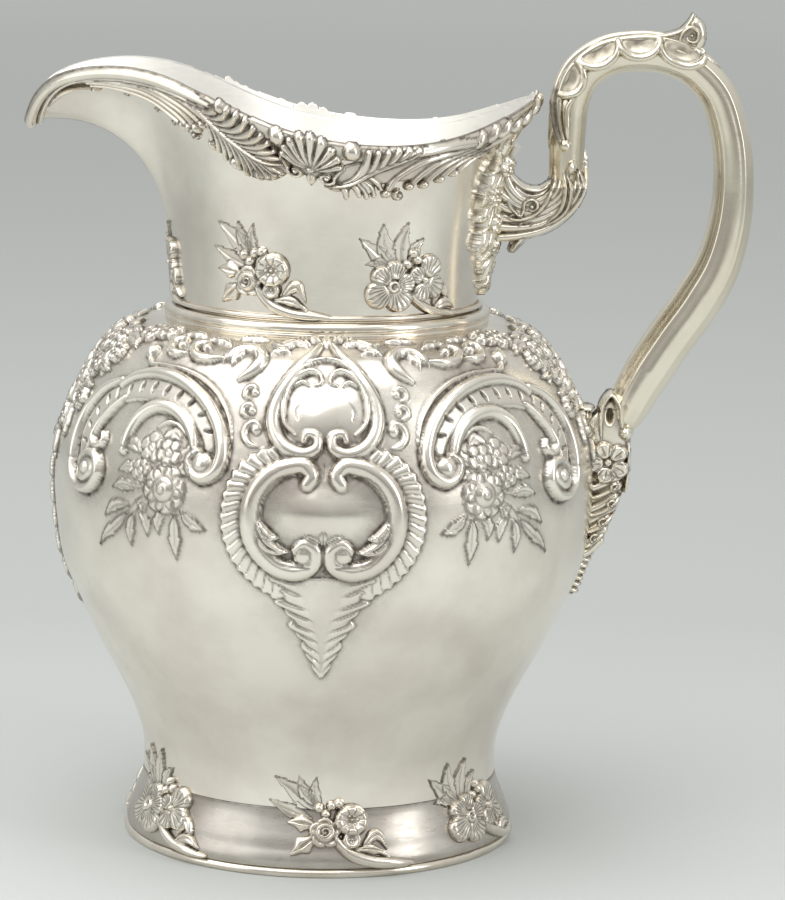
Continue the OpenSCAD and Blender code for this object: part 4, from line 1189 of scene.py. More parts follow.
    def chase_flowers(self, sheet: Relief) -> None:
        """Draws the flowers and flat chased leaves that hang below the hood."""
        for path, width in (
            (((-62.6, -3.4), (-68, -8), (-72.4, -11), (-76, -14.6)), 3),
            (((-59.8, -3.4), (-61.4, -7.4), (-61.2, -12.6)), 3),
            (((-57.8, -2), (-55.2, -4.6), (-54.6, -9)), 3),
            (((-47.4, -0.6), (-50.4, -3.6), (-50.4, -8)), 3),
            (((-44.8, -2), (-44.8, -7.6), (-44.4, -14.6)), 3.4),
            (((-42.4, -0.6), (-39.4, -3.4), (-34.8, -5.2)), 3),
            (((-59.4, 9), (-63.4, 10), (-67.6, 8.4)), 3.2), (((-60.4, 4), (-64.6, 4.8), (-69.2, 3.4)), 3.2),
            (((-62.4, -1), (-67.4, -1.6), (-72.4, -5.6)), 3),
            (((-58.8, 0.6), (-56.8, -0.2), (-56, -3.2)), 2.6),
            (((-60.4, 14.6), (-64.4, 16.6), (-67, 15)), 3),
            (((-46, 13.4), (-42.4, 16.2), (-39.6, 13.8)), 3.4),
            (((-45.4, 10.4), (-42.2, 11.6), (-39.6, 9.4)), 3),
            (((-52.4, 18.6), (-49, 21.4), (-45.6, 19.2)), 3.2),
        ):
            sheet.etch(path, 1.4 * width, 0.5, 2)
        for stem in (
            ((-55, 3.4), (-59.6, 0.6), (-62.8, -3.6)), ((-55, 1.4), (-58, -0.6), (-59.8, -3.6)),
            ((-48.2, -1), (-46, -1.6), (-44.8, -3)), ((-54.6, 6.4), (-58, 4.4), (-61.4, 4.2)),
            ((-55.4, 0.4), (-56.4, -1.6), (-57.4, -3)), ((-47.2, -2), (-43.6, -1.8), (-41.6, -1.2)),
        ):
            sheet.line(stem, 0.7, 0.2)
        sheet.blossom((-55.8, 16.6), 5, 0.8, 5, 20)
        sheet.blossom((-49.2, 15.6), 4.6, 0.9, 5, 50)
        sheet.blossom((-58.4, 9.6), 3.8, 0.8, 5, 0)
        sheet.blossom((-49, 5.2), 7.6, 0.9, 8, 12, 0.5)
        sheet.boss((-49, 5.2), 3.8, 1.9)
        sheet.line(spiral((-49, 5.2), 2.4, 40, 1.2), 0.6, 0.3)

    def chase_shoulder(self, sheet: Relief) -> None:
        """Draws the curls beside the heart and the leaf curls under the collar."""
        for path, width, at, radius in (
            (((-23.4, 36), (-24.6, 37.9), (-26.9, 37.1), (-27.2, 34.9), (-25.4, 34)), 1.7, (-23.9, 36),
             1.2),
            (((-23.2, 30.6), (-24.6, 32.3), (-26.7, 31.6), (-26.9, 29.7), (-24.7, 28.5)), 1.7,
             (-23.8, 30.5), 1.2),
            (((-20.6, 25.2), (-22.2, 27.1), (-24.7, 25.8), (-25.2, 23.2), (-23.5, 20.9), (-20.8, 20)), 2.2,
             (-21.6, 25), 1.6),
        ):
            sheet.ridge(path, width, 1.1, (0.8, 0.35))
            sheet.boss(at, radius, 1.2)
        for path, width, height in (
            (((-31.6, 50.2), (-34.6, 47.2), (-34.8, 43.8)), 3.4, 1.5),
            (((-33, 50.8), (-37.4, 48.6), (-38.8, 44.6)), 3.4, 1.6),
            (((-40.6, 52.6), (-46.4, 54.6), (-53, 53.4)), 3.2, 1.4),
            (((-56, 55.6), (-61, 56.4), (-67, 54.6)), 3.2, 1.4),
            (((-8.4, 54.6), (-13.4, 56.2), (-18.4, 53.6), (-23.6, 55.8)), 3.6, 1.7),
            (((-14.2, 50.6), (-18.4, 51.2), (-21.8, 49.6)), 2.8, 1.5),
            (((-26, 57.6), (-33, 57.6), (-39, 56.2)), 3.2, 1.5),
        ):
            sheet.leaf(path, width, height, 2)
        for path, width in (
            (((-30.4, 39.8), (-26.4, 43.2), (-24.5, 47.2), (-26.8, 50.2), (-31.6, 51.2), (-35.8, 49.8),
              (-37.6, 46.6)), 4.2),
            (((-39.6, 46.4), (-46.4, 45.6), (-52.4, 46.8), (-54.6, 49.2), (-52.2, 51.4), (-48.4, 50.6)),
             3.4),
            (((-56.6, 46.6), (-61, 46), (-65.4, 47.6), (-66.2, 50.4), (-62.8, 52), (-60.2, 50.2)), 3),
        ):
            sheet.ridge(path, width, 2.1, (0.35, 0.5))
        sheet.boss((-49.2, 49.6), 1.5, 1.9)
        sheet.boss((-61.6, 49.4), 1.4, 1.8)
        sheet.line([(-30, 41.6), (-27.2, 44.4), (-26, 47.4), (-27.6, 49.4)], 0.7, 0.35)
        sheet.blossom((-77, 54.6), 4.2, 1.9, 5, 40)
        sheet.blossom((-86, 52.6), 4.6, 2, 6, 0)

    def chase_garland(self, sheet: Relief, side: float) -> None:
        """Draws the bank of flowers at the left side, and the drop of husks below it."""
        sheet.ink = 1
        for path in (
            ((6, 41), (10, 38), (18, 39)), ((5, 27), (11, 24), (18, 22)), ((-5, 29), (-10, 27), (-16, 26)),
            ((4, 12), (9, 9), (12, 4)), ((-4, 18), (-8, 15), (-14, 14)), ((26, 43), (29, 39), (31, 33)),
            ((18, 30), (22, 29), (28, 30)), ((14, 22), (18, 17), (20, 12)), ((6, 53), (13, 53), (20, 50)),
            ((28, 47), (36, 48), (43, 45)), ((16, 49), (24, 51), (32, 52)), ((20, 42), (27, 37), (36, 36)),
        ):
            sheet.leaf([(-side + u, v) for u, v in path], 4.4, 1.6, 3)
        for u, v, r in (
            (0, 48, 6), (-13, 42, 5.4), (13, 44, 5.2), (-3, 36, 6.4), (-18, 32, 4.6), (12, 31, 5.4),
            (0, 23, 5.8), (-11, 22, 4.4), (9, 17, 4.2), (-2, 12.5, 4.6), (22, 36, 4.4), (24, 25, 3.8),
            (24, 46, 4.6), (34, 42, 3.8),
        ):
            sheet.blossom((-side + u, v), r, 2.1, 5 if r > 5 else 6, 30 * u)
        for i in range(6):
            v = 4 - 8 * i
            for tip in (-4.2 + 0.35 * i, 0, 4.2 - 0.35 * i):
                path = [(-side, v), (-side + 0.7 * tip, v - 4), (-side + tip, v - 8)]
                sheet.lone.leaf(path, 3 - 0.25 * i, 1.7)

    def build(self) -> None:
        """Makes both halves from the one drawing."""
        sheet = self.chase()
        dark = np.maximum(sheet.hollows(1.3, 0.5), 0.55 * sheet.hollows(4.5, 1.1))
        for name, turn, hand in (("body_front", 0.0, 1), ("body_back", PI * self.belly_r, -1)):
            sheet.height, dark = sheet.height[:, ::hand], dark[:, ::hand]

            def place(u: Array, v: Array, h: Array, turn: float = turn) -> Array:
                """Puts the drawing on one half."""
                return lifted(self.point, u + turn, v, h)

            piece = raised_sheet(name, sheet, place, self.wall, dark, self.fine, self.plain)
            hand_over(piece, RAISED, "body_shell")


@dataclass
class FlaredFoot:
    """The foot under the body: flared sheet, its standing wire, and the plate let into the waist.

    Attributes:
        body: The body above.
        low_z: Height of the sheet's lower edge.
        high_z: Height of its upper edge.
        low_r: Radius of its lower edge.
        wall: Thickness of the sheet.
        wire_r: Radius of the middle of the wire.
        wire_z: Height of the middle of the wire.
        wire_d: Thickness of the wire.
        flare: Spread and height shares up the sheet.
        plate_z: Height of the plate's underside.
        plate_r: Radius of the plate.
        plate_t: Thickness of the plate.
        plate_edge: Width of the cut on the plate's edges.
        plate_eye: Radius of the pinhole at the plate's middle.
    """

    body: ChasedBody
    low_z: float = 2.614
    high_z: float = 19.5
    low_r: float = 59.15
    wall: float = 1.1
    wire_r: float = 58.6
    wire_z: float = 1.064
    wire_d: float = 2.8
    flare: Path = ((1, 0), (1, 0.12), (0.9, 0.22), (0.77, 0.3), (0.6, 0.47), (0.3, 0.68), (0.08, 0.86),
                   (0, 1))
    plate_z: float = 19.65
    plate_r: float = 52.95
    plate_t: float = 1.6
    plate_edge: float = 0.4
    plate_eye: float = 0.02

    def __post_init__(self) -> None:
        """Works out the outline of the foot and the lower body, by running length."""
        waist = self.body.waist_r
        flare = between((waist, self.low_z), (self.low_r, self.high_z), self.flare)
        self.outline = through(flare, 0.15)
        above = self.body.outline[self.body.outline[:, 1] > self.high_z + 0.3]
        whole = np.concatenate([self.outline, above[above[:, 1] < 60]])
        self.run, self.whole = running(whole), whole

    def point(self, u: Array, v: Array) -> Array:
        """Gives the point at the arc u round the foot, from the front, and the run v up it."""
        r, z = (np.interp(v, self.run, self.whole[:, i]) for i in (0, 1))
        return turned(r, u / self.body.waist_r, z)

    def build(self) -> None:
        """Makes the foot, its wire and the plate."""
        line = through(self.outline[::6], 0.7)
        foot = turned_ring("foot_sheet", [tuple(p) for p in line], False)
        apply_modifier(foot, "SOLIDIFY", thickness=self.wall * MM, offset=-1.0, use_even_offset=True)
        # A narrow band at the foot's upper edge, where it meets the waist, is painted dark: painted shade in
        # the crease.
        dark = np.array([np.exp(-((v.co.z / MM - self.high_z) / 0.7) ** 2) * 0.7 for v in foot.data.vertices])
        stain_and_shade(foot.data, dark)
        hand_over(foot, SATIN_AND_SHADE, "foot")
        section = [(r, max(0.0, z)) for r, z in wire_section(self.wire_r, self.wire_z, self.wire_d)]
        hand_over(turned_ring("foot_wire", section, True), CAST, "foot_rim")
        low, top, edge = self.plate_z, self.plate_z + self.plate_t, self.plate_edge
        disc = [(self.plate_eye, low), (self.plate_r - edge, low), (self.plate_r, low + edge),
                (self.plate_r, top - edge), (self.plate_r - edge, top), (self.plate_eye, top)]
        hand_over(turned_ring("waist_plate", disc, True, 96), RAISED, "base_plate")


@dataclass
class SpoutedNeck:
    """The raised neck with its drawn spout, and the collar over its lower seam.

    Angles round it are from the front, in radians; inside, they are turned into degrees from the spout.

    Attributes:
        neck_r: Radius at the seam.
        foot_z: Height of the seam.
        wall: Thickness of the sheet.
        collar: Radius, height and thickness of each wire of the collar.
        rim_r: Radius of the rim at its sides.
        spout_out: Reach of the spout beyond that, and its spread in degrees.
        back_out: Reach of the rim at the back, and its spread.
        rim_z: Height of the rim at its sides.
        rise: Rise of the rim towards the spout, and its spread.
        rise_power: How squarely that rise begins.
        dip: Fall of the spout's tip below that rise, and its spread.
        back_rise: Rise of the rim at the back, and its spread.
        slope: Slope of the rim at its sides, and its loss at the spout and at the back, in degrees.
        turn: Length of the rim's turn at its sides, and its gain at the spout.
        slope_spread: Spread of the spout's slope and turn.
    """

    neck_r: float = 45.4
    foot_z: float = 159.45
    wall: float = 1.1
    collar: tuple[tuple[float, float, float], ...] = (
        (47.45, 161.35, 3.8), (46.3, 164.3, 1.5), (48.3, 159.4, 1.6))
    rim_r: float = 50.0
    spout_out: Point = (41.0, 16.7)
    back_out: Point = (10.5, 32.0)
    rim_z: float = 212.3
    rise: Point = (24.5, 64.0)
    rise_power: float = 2.6
    dip: Point = (20.3, 5.8)
    back_rise: Point = (12.7, 36.0)
    slope: tuple[float, float, float] = (72.0, 82.0, 7.0)
    turn: Point = (12.0, 13.0)
    slope_spread: float = 18.0

    def rim(self, a: Array) -> tuple[Array, Array, Array, Array]:
        """Gives the rim's radius, height, slope and length of turn at a degrees from the spout."""
        def bell(spread: float) -> Array:
            """Gives a share that falls off from the spout."""
            return 1 / (1 + (a / spread) ** 2)

        def back(spread: float) -> Array:
            """Gives a share that falls off from the back."""
            return np.exp(-(((180 - np.abs(a)) / spread) ** 2))

        radius = self.rim_r + self.spout_out[0] * bell(self.spout_out[1])
        radius = radius + self.back_out[0] * back(self.back_out[1])
        height = self.rim_z + self.rise[0] * np.exp(-((np.abs(a) / self.rise[1]) ** self.rise_power))
        height = height - self.dip[0] * bell(self.dip[1]) + self.back_rise[0] * back(self.back_rise[1])
        tip = bell(self.slope_spread)
        slope = self.slope[0] - self.slope[1] * tip - self.slope[2] * back(self.back_out[1])
        return radius, height, np.radians(slope), self.turn[0] + self.turn[1] * tip

    def at(self, angle: Array, share: Array) -> Array:
        """Gives the point at an angle from the front and a share of the way from the seam to the rim."""
        a = -(np.degrees(angle) + 90)
        a = a - 360 * np.round(a / 360)
        radius, height, slope, turn = self.rim(a)
        s = 1 - share
        rise = self.foot_z + 0.85 * (height - self.foot_z)
        w = (s**3, 3 * s * s * share, 3 * s * share**2, share**3)
        r = (w[0] + w[1]) * self.neck_r + w[2] * (radius - turn * np.cos(slope)) + w[3] * radius
        z = w[0] * self.foot_z + w[1] * rise + w[2] * (height - turn * np.sin(slope)) + w[3] * height
        return turned(r, angle, z)

    def point(self, u: Array, z: Array) -> Array:
        """Gives the point at the arc u from the front and the height z, found by halving."""
        angle = u / self.neck_r
        low, high = np.full(np.shape(u), -0.1), np.full(np.shape(u), 1.0)
        for _ in range(22):
            mid = (low + high) / 2
            below = self.at(angle, mid)[..., 2] < z
            low, high = np.where(below, mid, low), np.where(below, high, mid)
        return self.at(angle, (low + high) / 2)

    def build(self) -> None:
        """Makes the neck and the collar."""
        neck = wrapped_grid("neck_sheet", 320, 56, lambda x, y: self.at(2 * PI * x - 1.5 * PI, y))
        for finish in (RAISED, LINING):
            neck.data.materials.append(finish.material())
        apply_modifier(neck, "SOLIDIFY", thickness=self.wall * MM, offset=-1.0, use_even_offset=True,
                       material_offset=1)
        hand_over(neck, RAISED, "neck_shell", lining=LINING)
        wires = [turned_ring(f"collar_wire_{i}", wire_section(*ring), True, 224)
                 for i, ring in enumerate(self.collar)]
        hand_over(joined("collar_wire", wires), CAST, "collar_ring")


@dataclass
class RimBorder:
    """The cast border of the rim: reeded lip, acanthus leaves, shells and a crest at the back.

    The drawing runs round the rim from the spout, towards the front, with heights above its edge.

    Attributes:
        neck: The neck that carries it.
        step: Spacing of the relief's grid.
        sink: Depth of the back of the castings in the neck's wall.
        lip_end: Where the lip ends, in degrees from the spout.
        shell_start: Where the shell begins.
        shell_end: Where the shell ends.
        crest_start: Where the crest at the back begins.
    """

    neck: SpoutedNeck
    step: float = 0.32
    sink: float = 0.7
    lip_end: float = 18.0
    shell_start: float = 77.0
    shell_end: float = 92.0
    crest_start: float = 156.0

    def __post_init__(self) -> None:
        """Measures the run of the edge round the rim."""
        self.angles = np.linspace(-PI / 2, 1.5 * PI, 4001)
        edge = self.neck.at(self.angles, np.ones_like(self.angles))
        self.runs = running(edge)
        self.whole = float(self.runs[-1])

    def run(self, degrees: float) -> float:
        """Gives the run along the edge at an angle from the spout, towards the front."""
        return float(np.interp(math.radians(degrees - 90), self.angles, self.runs))

    def point(self, s: Array, v: Array) -> Array:
        """Gives the point at the run s and the distance v above the edge."""
        around = np.mod(s, self.whole)
        angle = np.interp(around, self.runs, self.angles)
        a = np.abs(np.degrees(angle) + 90)
        a = np.minimum(a, 360 - a)
        turn = self.neck.rim(a)[3]
        return self.neck.at(angle, 1 + v / (3 * turn))

    def way(self, *points: Point) -> list[Point]:
        """Turns angles from the spout into runs along the edge."""
        return [(self.run(a), v) for a, v in points]

    def fingers(self, sheet: Relief, pairs: Sequence[Path], bend: Point, width: float,
                height: float) -> None:
        """Draws a row of acanthus fingers.

        Args:
            sheet: The drawing.
            pairs: Root and tip of each finger, as angle and height.
            bend: Direction in which each leaves its root.
            width: Width of a finger near its tip.
            height: Height of its crown.
        """
        t = np.linspace(0, 1, 12)[:, None]
        ends = np.array([self.way(*pair) for pair in pairs])
        count = int(1.6 * len(pairs)) if len(pairs) > 1 else 1
        for at in np.linspace(0, len(pairs) - 1, count):
            low = min(int(at), max(len(pairs) - 2, 0))
            a, b = ends[low] + (at - low) * (ends[min(low + 1, len(pairs) - 1)] - ends[low])
            mid = a + np.array(bend) * 0.6 * np.linalg.norm(b - a)
            sheet.stroke(
                (1 - t) ** 2 * a + 2 * t * (1 - t) * mid + t * t * b,
                lambda s: width / 2 * (0.4 + 0.6 * np.sin(PI * np.clip(s, 0, 0.88) ** 1.25)),
                lambda x, s: height * (0.75 + 0.25 * s) * np.sqrt(1 - x * x),
            )

    def draw(self) -> Relief:
        """Draws the whole border."""
        start = -self.run(self.crest_start)
        sheet = Relief((start, -22), (start + self.whole, 5), self.step, -0.6, (0, self.whole / 2), ink=1.0)
        sheet.bed(self.way((40, -1.2), (60, -0.6), (90, -0.6), (120, -0.6), (150, -0.8), (180, -0.8)), 5.2,
                  (0.5, 1))
        self.draw_lip(sheet)
        self.draw_spout_leaf(sheet)
        self.draw_rim_leaf(sheet)
        self.draw_crest(sheet)
        self.draw_shell(sheet)
        return sheet

    def draw_lip(self, sheet: Relief) -> None:
        """Draws the roll of the lip, and the reeds that part from it."""
        for reed in (
            ((9, -10.6), (13.5, -13.2), (17.8, -14.6), (22, -16.2), (26.2, -18.2), (31.5, -19.4)),
            ((9.6, -8), (15, -10), (20.5, -11), (26, -14), (30.5, -16), (35, -18.4)),
            ((10, -6), (16.8, -7.4), (23.2, -7.8), (30, -11.6), (34.5, -13.2), (38.8, -16.6)),
            ((12, -5), (24, -5.6), (32, -8.6), (38, -10.4), (43, -13)),
            ((26, -4.6), (36, -5.2), (43, -7.6), (47, -10)),
            ((3.4, -5.4), (6, -7.4), (7.6, -10.4), (8.4, -13.4)),
        ):
            sheet.ridge(self.way(*reed), 2.7, 2, (0.5, 0.85))
            sheet.boss(self.way(reed[-1])[0], 1.7, 2.2)
        for at in ((13.4, -16.4), (20.6, -19.4), (27.4, -20.4), (37, -19.6)):
            sheet.curl(self.way(at)[0], 1.5, 90, 0.9, 1.2, 1.6)
        sheet.ridge(self.way((0, -3.9), (6, -4), (14, -4.2), (25, -4.2), (36, -4), (46, -4.4)), 2.2, 1.9,
                    (1, 0.6))
        sheet.ridge(self.way((0, -1.1), (6, -1.1), (14, -1.2), (25, -1.2), (36, -1.1), (50, -0.8)), 3.8,
                    2.6, (1, 0.5))

    def draw_spout_leaf(self, sheet: Relief) -> None:
        """Draws the acanthus from the lip to the shell."""
        vein = self.way((43, -5), (52, -9.8), (58.5, -12), (67, -13.4), (74.5, -11.2))
        sheet.bed(vein, 13, (0.5, 0.5))
        sheet.bed(self.way((48, -2), (60, -2.6), (70, -4.4)), 6, (0.5, 0.5))
        below = (((43.4, -7.4), (46.2, -17.4)), ((46, -8.6), (50.8, -19.4)), ((49.6, -10.2), (55.4, -19.6)),
                 ((53.4, -11.2), (60.2, -20)), ((57, -12.2), (64.8, -19.2)), ((61, -13), (69.2, -17.8)),
                 ((65, -13.4), (73.6, -14.8)))
        above = (((64, -12.6), (74.4, -8)), ((60, -11.8), (70.8, -4.8)), ((56, -10.6), (67.6, -1.6)),
                 ((52.5, -9.2), (63.8, 0.6)), ((49, -7), (58.8, 1)), ((46.4, -5), (53.6, 0.8)))
        self.fingers(sheet, below, (0.8, -0.3), 2.7, 2.2)
        self.fingers(sheet, above, (0.85, 0.25), 3, 2.4)
        sheet.ridge(vein, 2, 2.6, (0.7, 0.4))
        for a, v, r in (
            (54.2, 0.6, 1.9), (73.2, -0.4, 2.6), (46.2, -18, 1.9), (55.4, -19.4, 1.6), (64.8, -18.8, 1.6),
        ):
            sheet.boss((self.run(a), v), r, r + 0.6)

    def draw_shell(self, sheet: Relief) -> None:
        """Draws the shell: ribs that fan up from a bead, between two volutes."""
        middle, low = self.way((83.8, -9))[0]
        sheet.boss((middle, -6), 8.6, 1.2, 7.4, 0, Section.BLUNT)
        root = np.array([middle, low])
        for i in range(-4, 5):
            tip = root + (10.8 - 0.12 * i**2) * heading(math.radians(90 + 17.5 * i))
            sheet.stroke(
                through([root, tip], 0.5), lambda t: 0.5 + 1.1 * t,
                lambda x, t: (2.0 + 1.1 * np.sin(PI * np.clip(t, 0, 0.9))) * np.sqrt(1 - x * x),
            )
        sheet.boss((middle, low), 1.7, 3)
        for hand in (-1, 1):
            at = (middle + 4.8 * hand, -11.8)
            sheet.curl(at, 2.6, 90 - 70 * hand, -1.2 * hand, 1.8, 2.6, [(middle + 10 * hand, -6.6)])
        sheet.leaf([(middle, -11), (middle, -16.4)], 3.4, 2.2)

    def draw_rim_leaf(self, sheet: Relief) -> None:
        """Draws the acanthus and reeds from the shell to the crest."""
        sheet.bed(self.way((92, -12.6), (100, -9), (108, -6.6), (118, -5.4), (132, -5.4), (146, -5)), 12,
                  (0.7, 0.6))
        for reed in (
            ((152, -6.4), (145.5, -7), (140.5, -9), (137, -11.6)),
            ((151, -5.2), (143, -5.4), (135.5, -7.6), (131, -12.6)),
            ((150, -4.2), (140, -4), (131, -6.6), (124.5, -13.6)),
            ((150, -3.2), (138, -2.6), (127, -5), (118.6, -13.6)),
            ((148, -2.2), (132, -1.6), (121, -3.4), (113, -9.6), (110.2, -16)),
        ):
            sheet.ridge(self.way(*reed), 2.7, 2.2, (0.5, 0.8))
            sheet.boss(self.way(reed[-1])[0], 1.7, 2.3)
        sheet.curl(self.way((115, -16.6))[0], 1.9, 90, 1, 1.4, 1.9)
        below = (((96, -12.6), (100.6, -17)), ((99, -11.4), (105, -17.6)), ((103, -8.6), (108.6, -13.4)),
                 ((93, -13.8), (96, -18)))
        above = (((106, -6), (119.6, 0.8)), ((102.6, -7.8), (113.6, 1.2)), ((98.6, -11), (107.6, 0.4)),
                 ((94.6, -13), (102.4, 0.4)))
        self.fingers(sheet, below, (0.8, -0.2), 2.5, 2.1)
        self.fingers(sheet, above, (0.75, 0.35), 3, 2.4)
        sheet.ridge(self.way((88.8, -15.4), (96.8, -13), (104.5, -6.4), (112.8, -2.2), (120, -0.4)), 1.9,
                    2.6, (0.6, 0.4))
        sheet.ridge(self.way((114, -0.6), (121, 0.2), (130, 0.6), (140, -0.4), (147, -2)), 3, 2.4,
                    (0.5, 0.6))
        sheet.boss(self.way((97, 0))[0], 2.7, 3.2)

    def draw_crest(self, sheet: Relief) -> None:
        """Draws the lobed crest at the back."""
        sheet.bed(self.way((140, -5), (160, -5.6), (180, -6)), 9, (0.6, 1))
        for i, a in enumerate(np.arange(150, 181, 5)):
            self.fingers(sheet, (((a - 4, -4.4), (a, -10.4 - 0.3 * i)),), (0.5, -0.7), 2.8, 2)
        for a, v in (
            (143.6, -1), (149.4, -0.8), (155.2, -1.4), (161.4, -2.6), (167.2, -2), (173.4, -0.4),
            (180, 0.4),
        ):
            sheet.boss((self.run(a), v), 3.2, 2.7, 2.3, 50)
        sheet.ridge(self.way((142, -4.6), (160, -5), (180, -4.4)), 1.9, 2.3, (0.6, 1))

    def build(self) -> None:
        """Cuts the drawing into its castings."""
        sheet = self.draw()
        dark = np.maximum(sheet.hollows(1.2, 0.5), 0.7 * sheet.hollows(3.6, 1.3))

        def place(s: Array, v: Array, h: Array) -> Array:
            """Puts the drawing on the rim, just proud of the neck."""
            return lifted(self.point, s, v, h + 0.12)

        ends = (self.lip_end, self.shell_start, self.shell_end, self.crest_start)
        lip, low, high, crest = (self.run(a) for a in ends)
        for node, start, end in (
            ("spout_lip", -lip, lip), ("spout_leaf_front", lip, low), ("spout_leaf_back", -low, -lip),
            ("rim_shell_front", low, high), ("rim_shell_back", -high, -low), ("rim_leaf_front", high, crest),
            ("rim_leaf_back", -crest, -high), ("rim_crest", crest, self.whole - crest),
        ):
            piece = casting(f"{node}_casting", sheet, place, self.sink, dark, (start, end))
            hand_over(piece, CAST, node, lining=LINING)


class SprayKind(Enum):
    """The two flower sprays that the ewer repeats."""

    ROSE = "rose and cup flower"
    PANSY = "pair of pansies"


@dataclass
class FlowerSpray:
    """A cast flower spray, soldered flat to the neck or the foot.

    Attributes:
        kind: Which of the two sprays it is.
        shift: Distance of the flowers and stem to the right of where the leaves would have them.
        step: Spacing of the relief's grid.
        sink: Depth of its back in the sheet that carries it.
    """

    kind: SprayKind
    shift: float = 0.0
    step: float = 0.24
    sink: float = 0.6

    def draw(self) -> Relief:
        """Draws the spray about its own middle."""
        sheet = Relief((-19.5, -16.5), (24.0, 16.0), self.step, -0.5, ink=0.85)
        if self.kind is SprayKind.ROSE:
            self.draw_rose(sheet)
        else:
            self.draw_pansy(sheet)
        return sheet

    def moved(self, *points: Point) -> list[Point]:
        """Takes points to the right by the shift."""
        return [(u + self.shift, v) for u, v in points]

    def draw_rose(self, sheet: Relief) -> None:
        """Draws flat leaves, a cup flower, a rose, buds and a thick stem to the right."""
        for path, width in (
            (((-4, 2.4), (-9.6, 7.4), (-16.7, 12.3)), 6), (((-4.6, 4), (-8, 8.4), (-9.6, 12.8)), 4.4),
            (((-6, 0), (-13, 2.6), (-18.4, 5.1)), 4.6), (((-3, 3.4), (-5, 8), (-4.4, 12.4)), 4),
        ):
            sheet.etch(path, width, 0.6)
        sheet.ridge(self.moved((-2.6, -6), (1.5, -10.6), (6.9, -12.8), (12.6, -13.6), (19, -14)), 3.4, 2.4,
                    (0.8, 0.35))
        for path, width in (
            (((-8, -2.4), (-12.4, -1.4), (-16.6, -1.4)), 4.6),
            (((-8, -5.6), (-11.4, -8), (-14.8, -11.2)), 5), (((5, -9), (9.2, -5.2), (12, -9.8)), 3.4),
            (((2, -9.6), (7.6, -9.4), (13, -12.4)), 2.8),
        ):
            sheet.leaf(self.moved(*path), width, 1.9, 2)
        for at in self.moved((-7.2, 3.2), (-3.6, 4), (-5.2, 1.4), (-1.4, 4.6)):
            sheet.boss(at, 1.6, 2)
        low, left, right = self.moved((2, -6.4), (-5.4, -4.2), (2.1, -0.6))
        sheet.cup(low, 2.7, 2.6)
        sheet.rose(left, 4.8, 3.2)
        sheet.cup(right, 5.1, 3.4)
        for k in range(10):
            way = heading(math.radians(36 * k))
            sheet.line([right + 2.2 * way, right + 4.4 * way], 0.5, 0.25)

    def draw_pansy(self, sheet: Relief) -> None:
        """Draws flat pointed leaves, two pansies, buds and a stem to the right."""
        for path, width in (
            (((-7.4, 0.4), (-13, 4.4), (-18.6, 9.1)), 5.8), (((-8.6, 0.4), (-13.2, 2), (-16.6, 1.6)), 4),
            (((-7.8, 1.6), (-11.2, 7.4), (-11.6, 13.2)), 6),
            (((-5.4, 0.7), (-5.8, 7.2), (-3.8, 13.4)), 6), (((-2.4, 0.9), (-1.2, 5.7), (1.6, 8.6)), 4.6),
        ):
            sheet.etch(path, width, 0.6)
        sheet.ridge(self.moved((-2.9, -7.6), (1.3, -10.8), (5.7, -12.8), (11, -13.8), (17, -14.4)), 2.8,
                    2.2, (0.8, 0.35))
        for path in (((6, -10.6), (8.4, -5.6), (11.6, -10.6)), ((6, -12.4), (10.4, -10.6), (14.6, -12.6))):
            sheet.leaf(self.moved(*path), 3.2, 1.8)
        for at in self.moved((-2.1, 4.6), (-0.6, 2.6), (-4, 1.4)):
            sheet.boss(at, 1.5, 2.2)
        right, left = self.moved((1.8, -3.4), (-8.7, -4.8))
        for tip, cheek in (((4.2, 0.4), 4), ((5.3, -5.4), 3.8), ((1, -6.8), 3.2), ((-1, -1.8), 2.8)):
            sheet.petal(right, self.moved(tip)[0], cheek, 2.3, 5)
        sheet.boss(right, 1.2, 2.8)
        for tip, cheek in (
            ((-12, -1.8), 3.4), ((-8, -0.2), 3.2), ((-13, -7.4), 4.2), ((-6.5, -8.5), 4.4),
            ((-4.6, -4), 3.2),
        ):
            sheet.petal(left, self.moved(tip)[0], cheek, 2.5, 6)
        sheet.cup(left, 1.9, 3.2)

    def build(self, node: str, surface: Surface, at: Point) -> None:
        """Casts the spray on a surface.

        Args:
            node: Solid that it stands for.
            surface: The surface that carries it.
            at: Where its middle sits on that surface.
        """
        sheet = self.draw()
        dark = np.maximum(sheet.hollows(1.0, 0.7), 0.5 * sheet.hollows(2.6, 1.3))

        def place(u: Array, v: Array, h: Array) -> Array:
            """Puts the drawing on the surface."""
            return lifted(surface, u + at[0], v + at[1], h + 0.1)

        hand_over(casting(f"{node}_casting", sheet, place, self.sink, dark), CAST, node)


# Angle of each spray from the front, in degrees, and its kind.
NECK_SPRAYS = ((-90, SprayKind.PANSY), (-23, SprayKind.ROSE), (35, SprayKind.PANSY), (150, SprayKind.ROSE),
               (-150, SprayKind.PANSY))
FOOT_SPRAYS = ((4, SprayKind.ROSE), (57, SprayKind.PANSY), (120, SprayKind.ROSE), (180, SprayKind.PANSY),
               (-120, SprayKind.ROSE), (-56, SprayKind.PANSY))
# Height of the neck's sprays, and the run up the foot and the shift of the foot's.
NECK_SPRAY_Z = 178.6
FOOT_SPRAY_RUN, FOOT_SPRAY_SHIFT = 15.0, 3.6


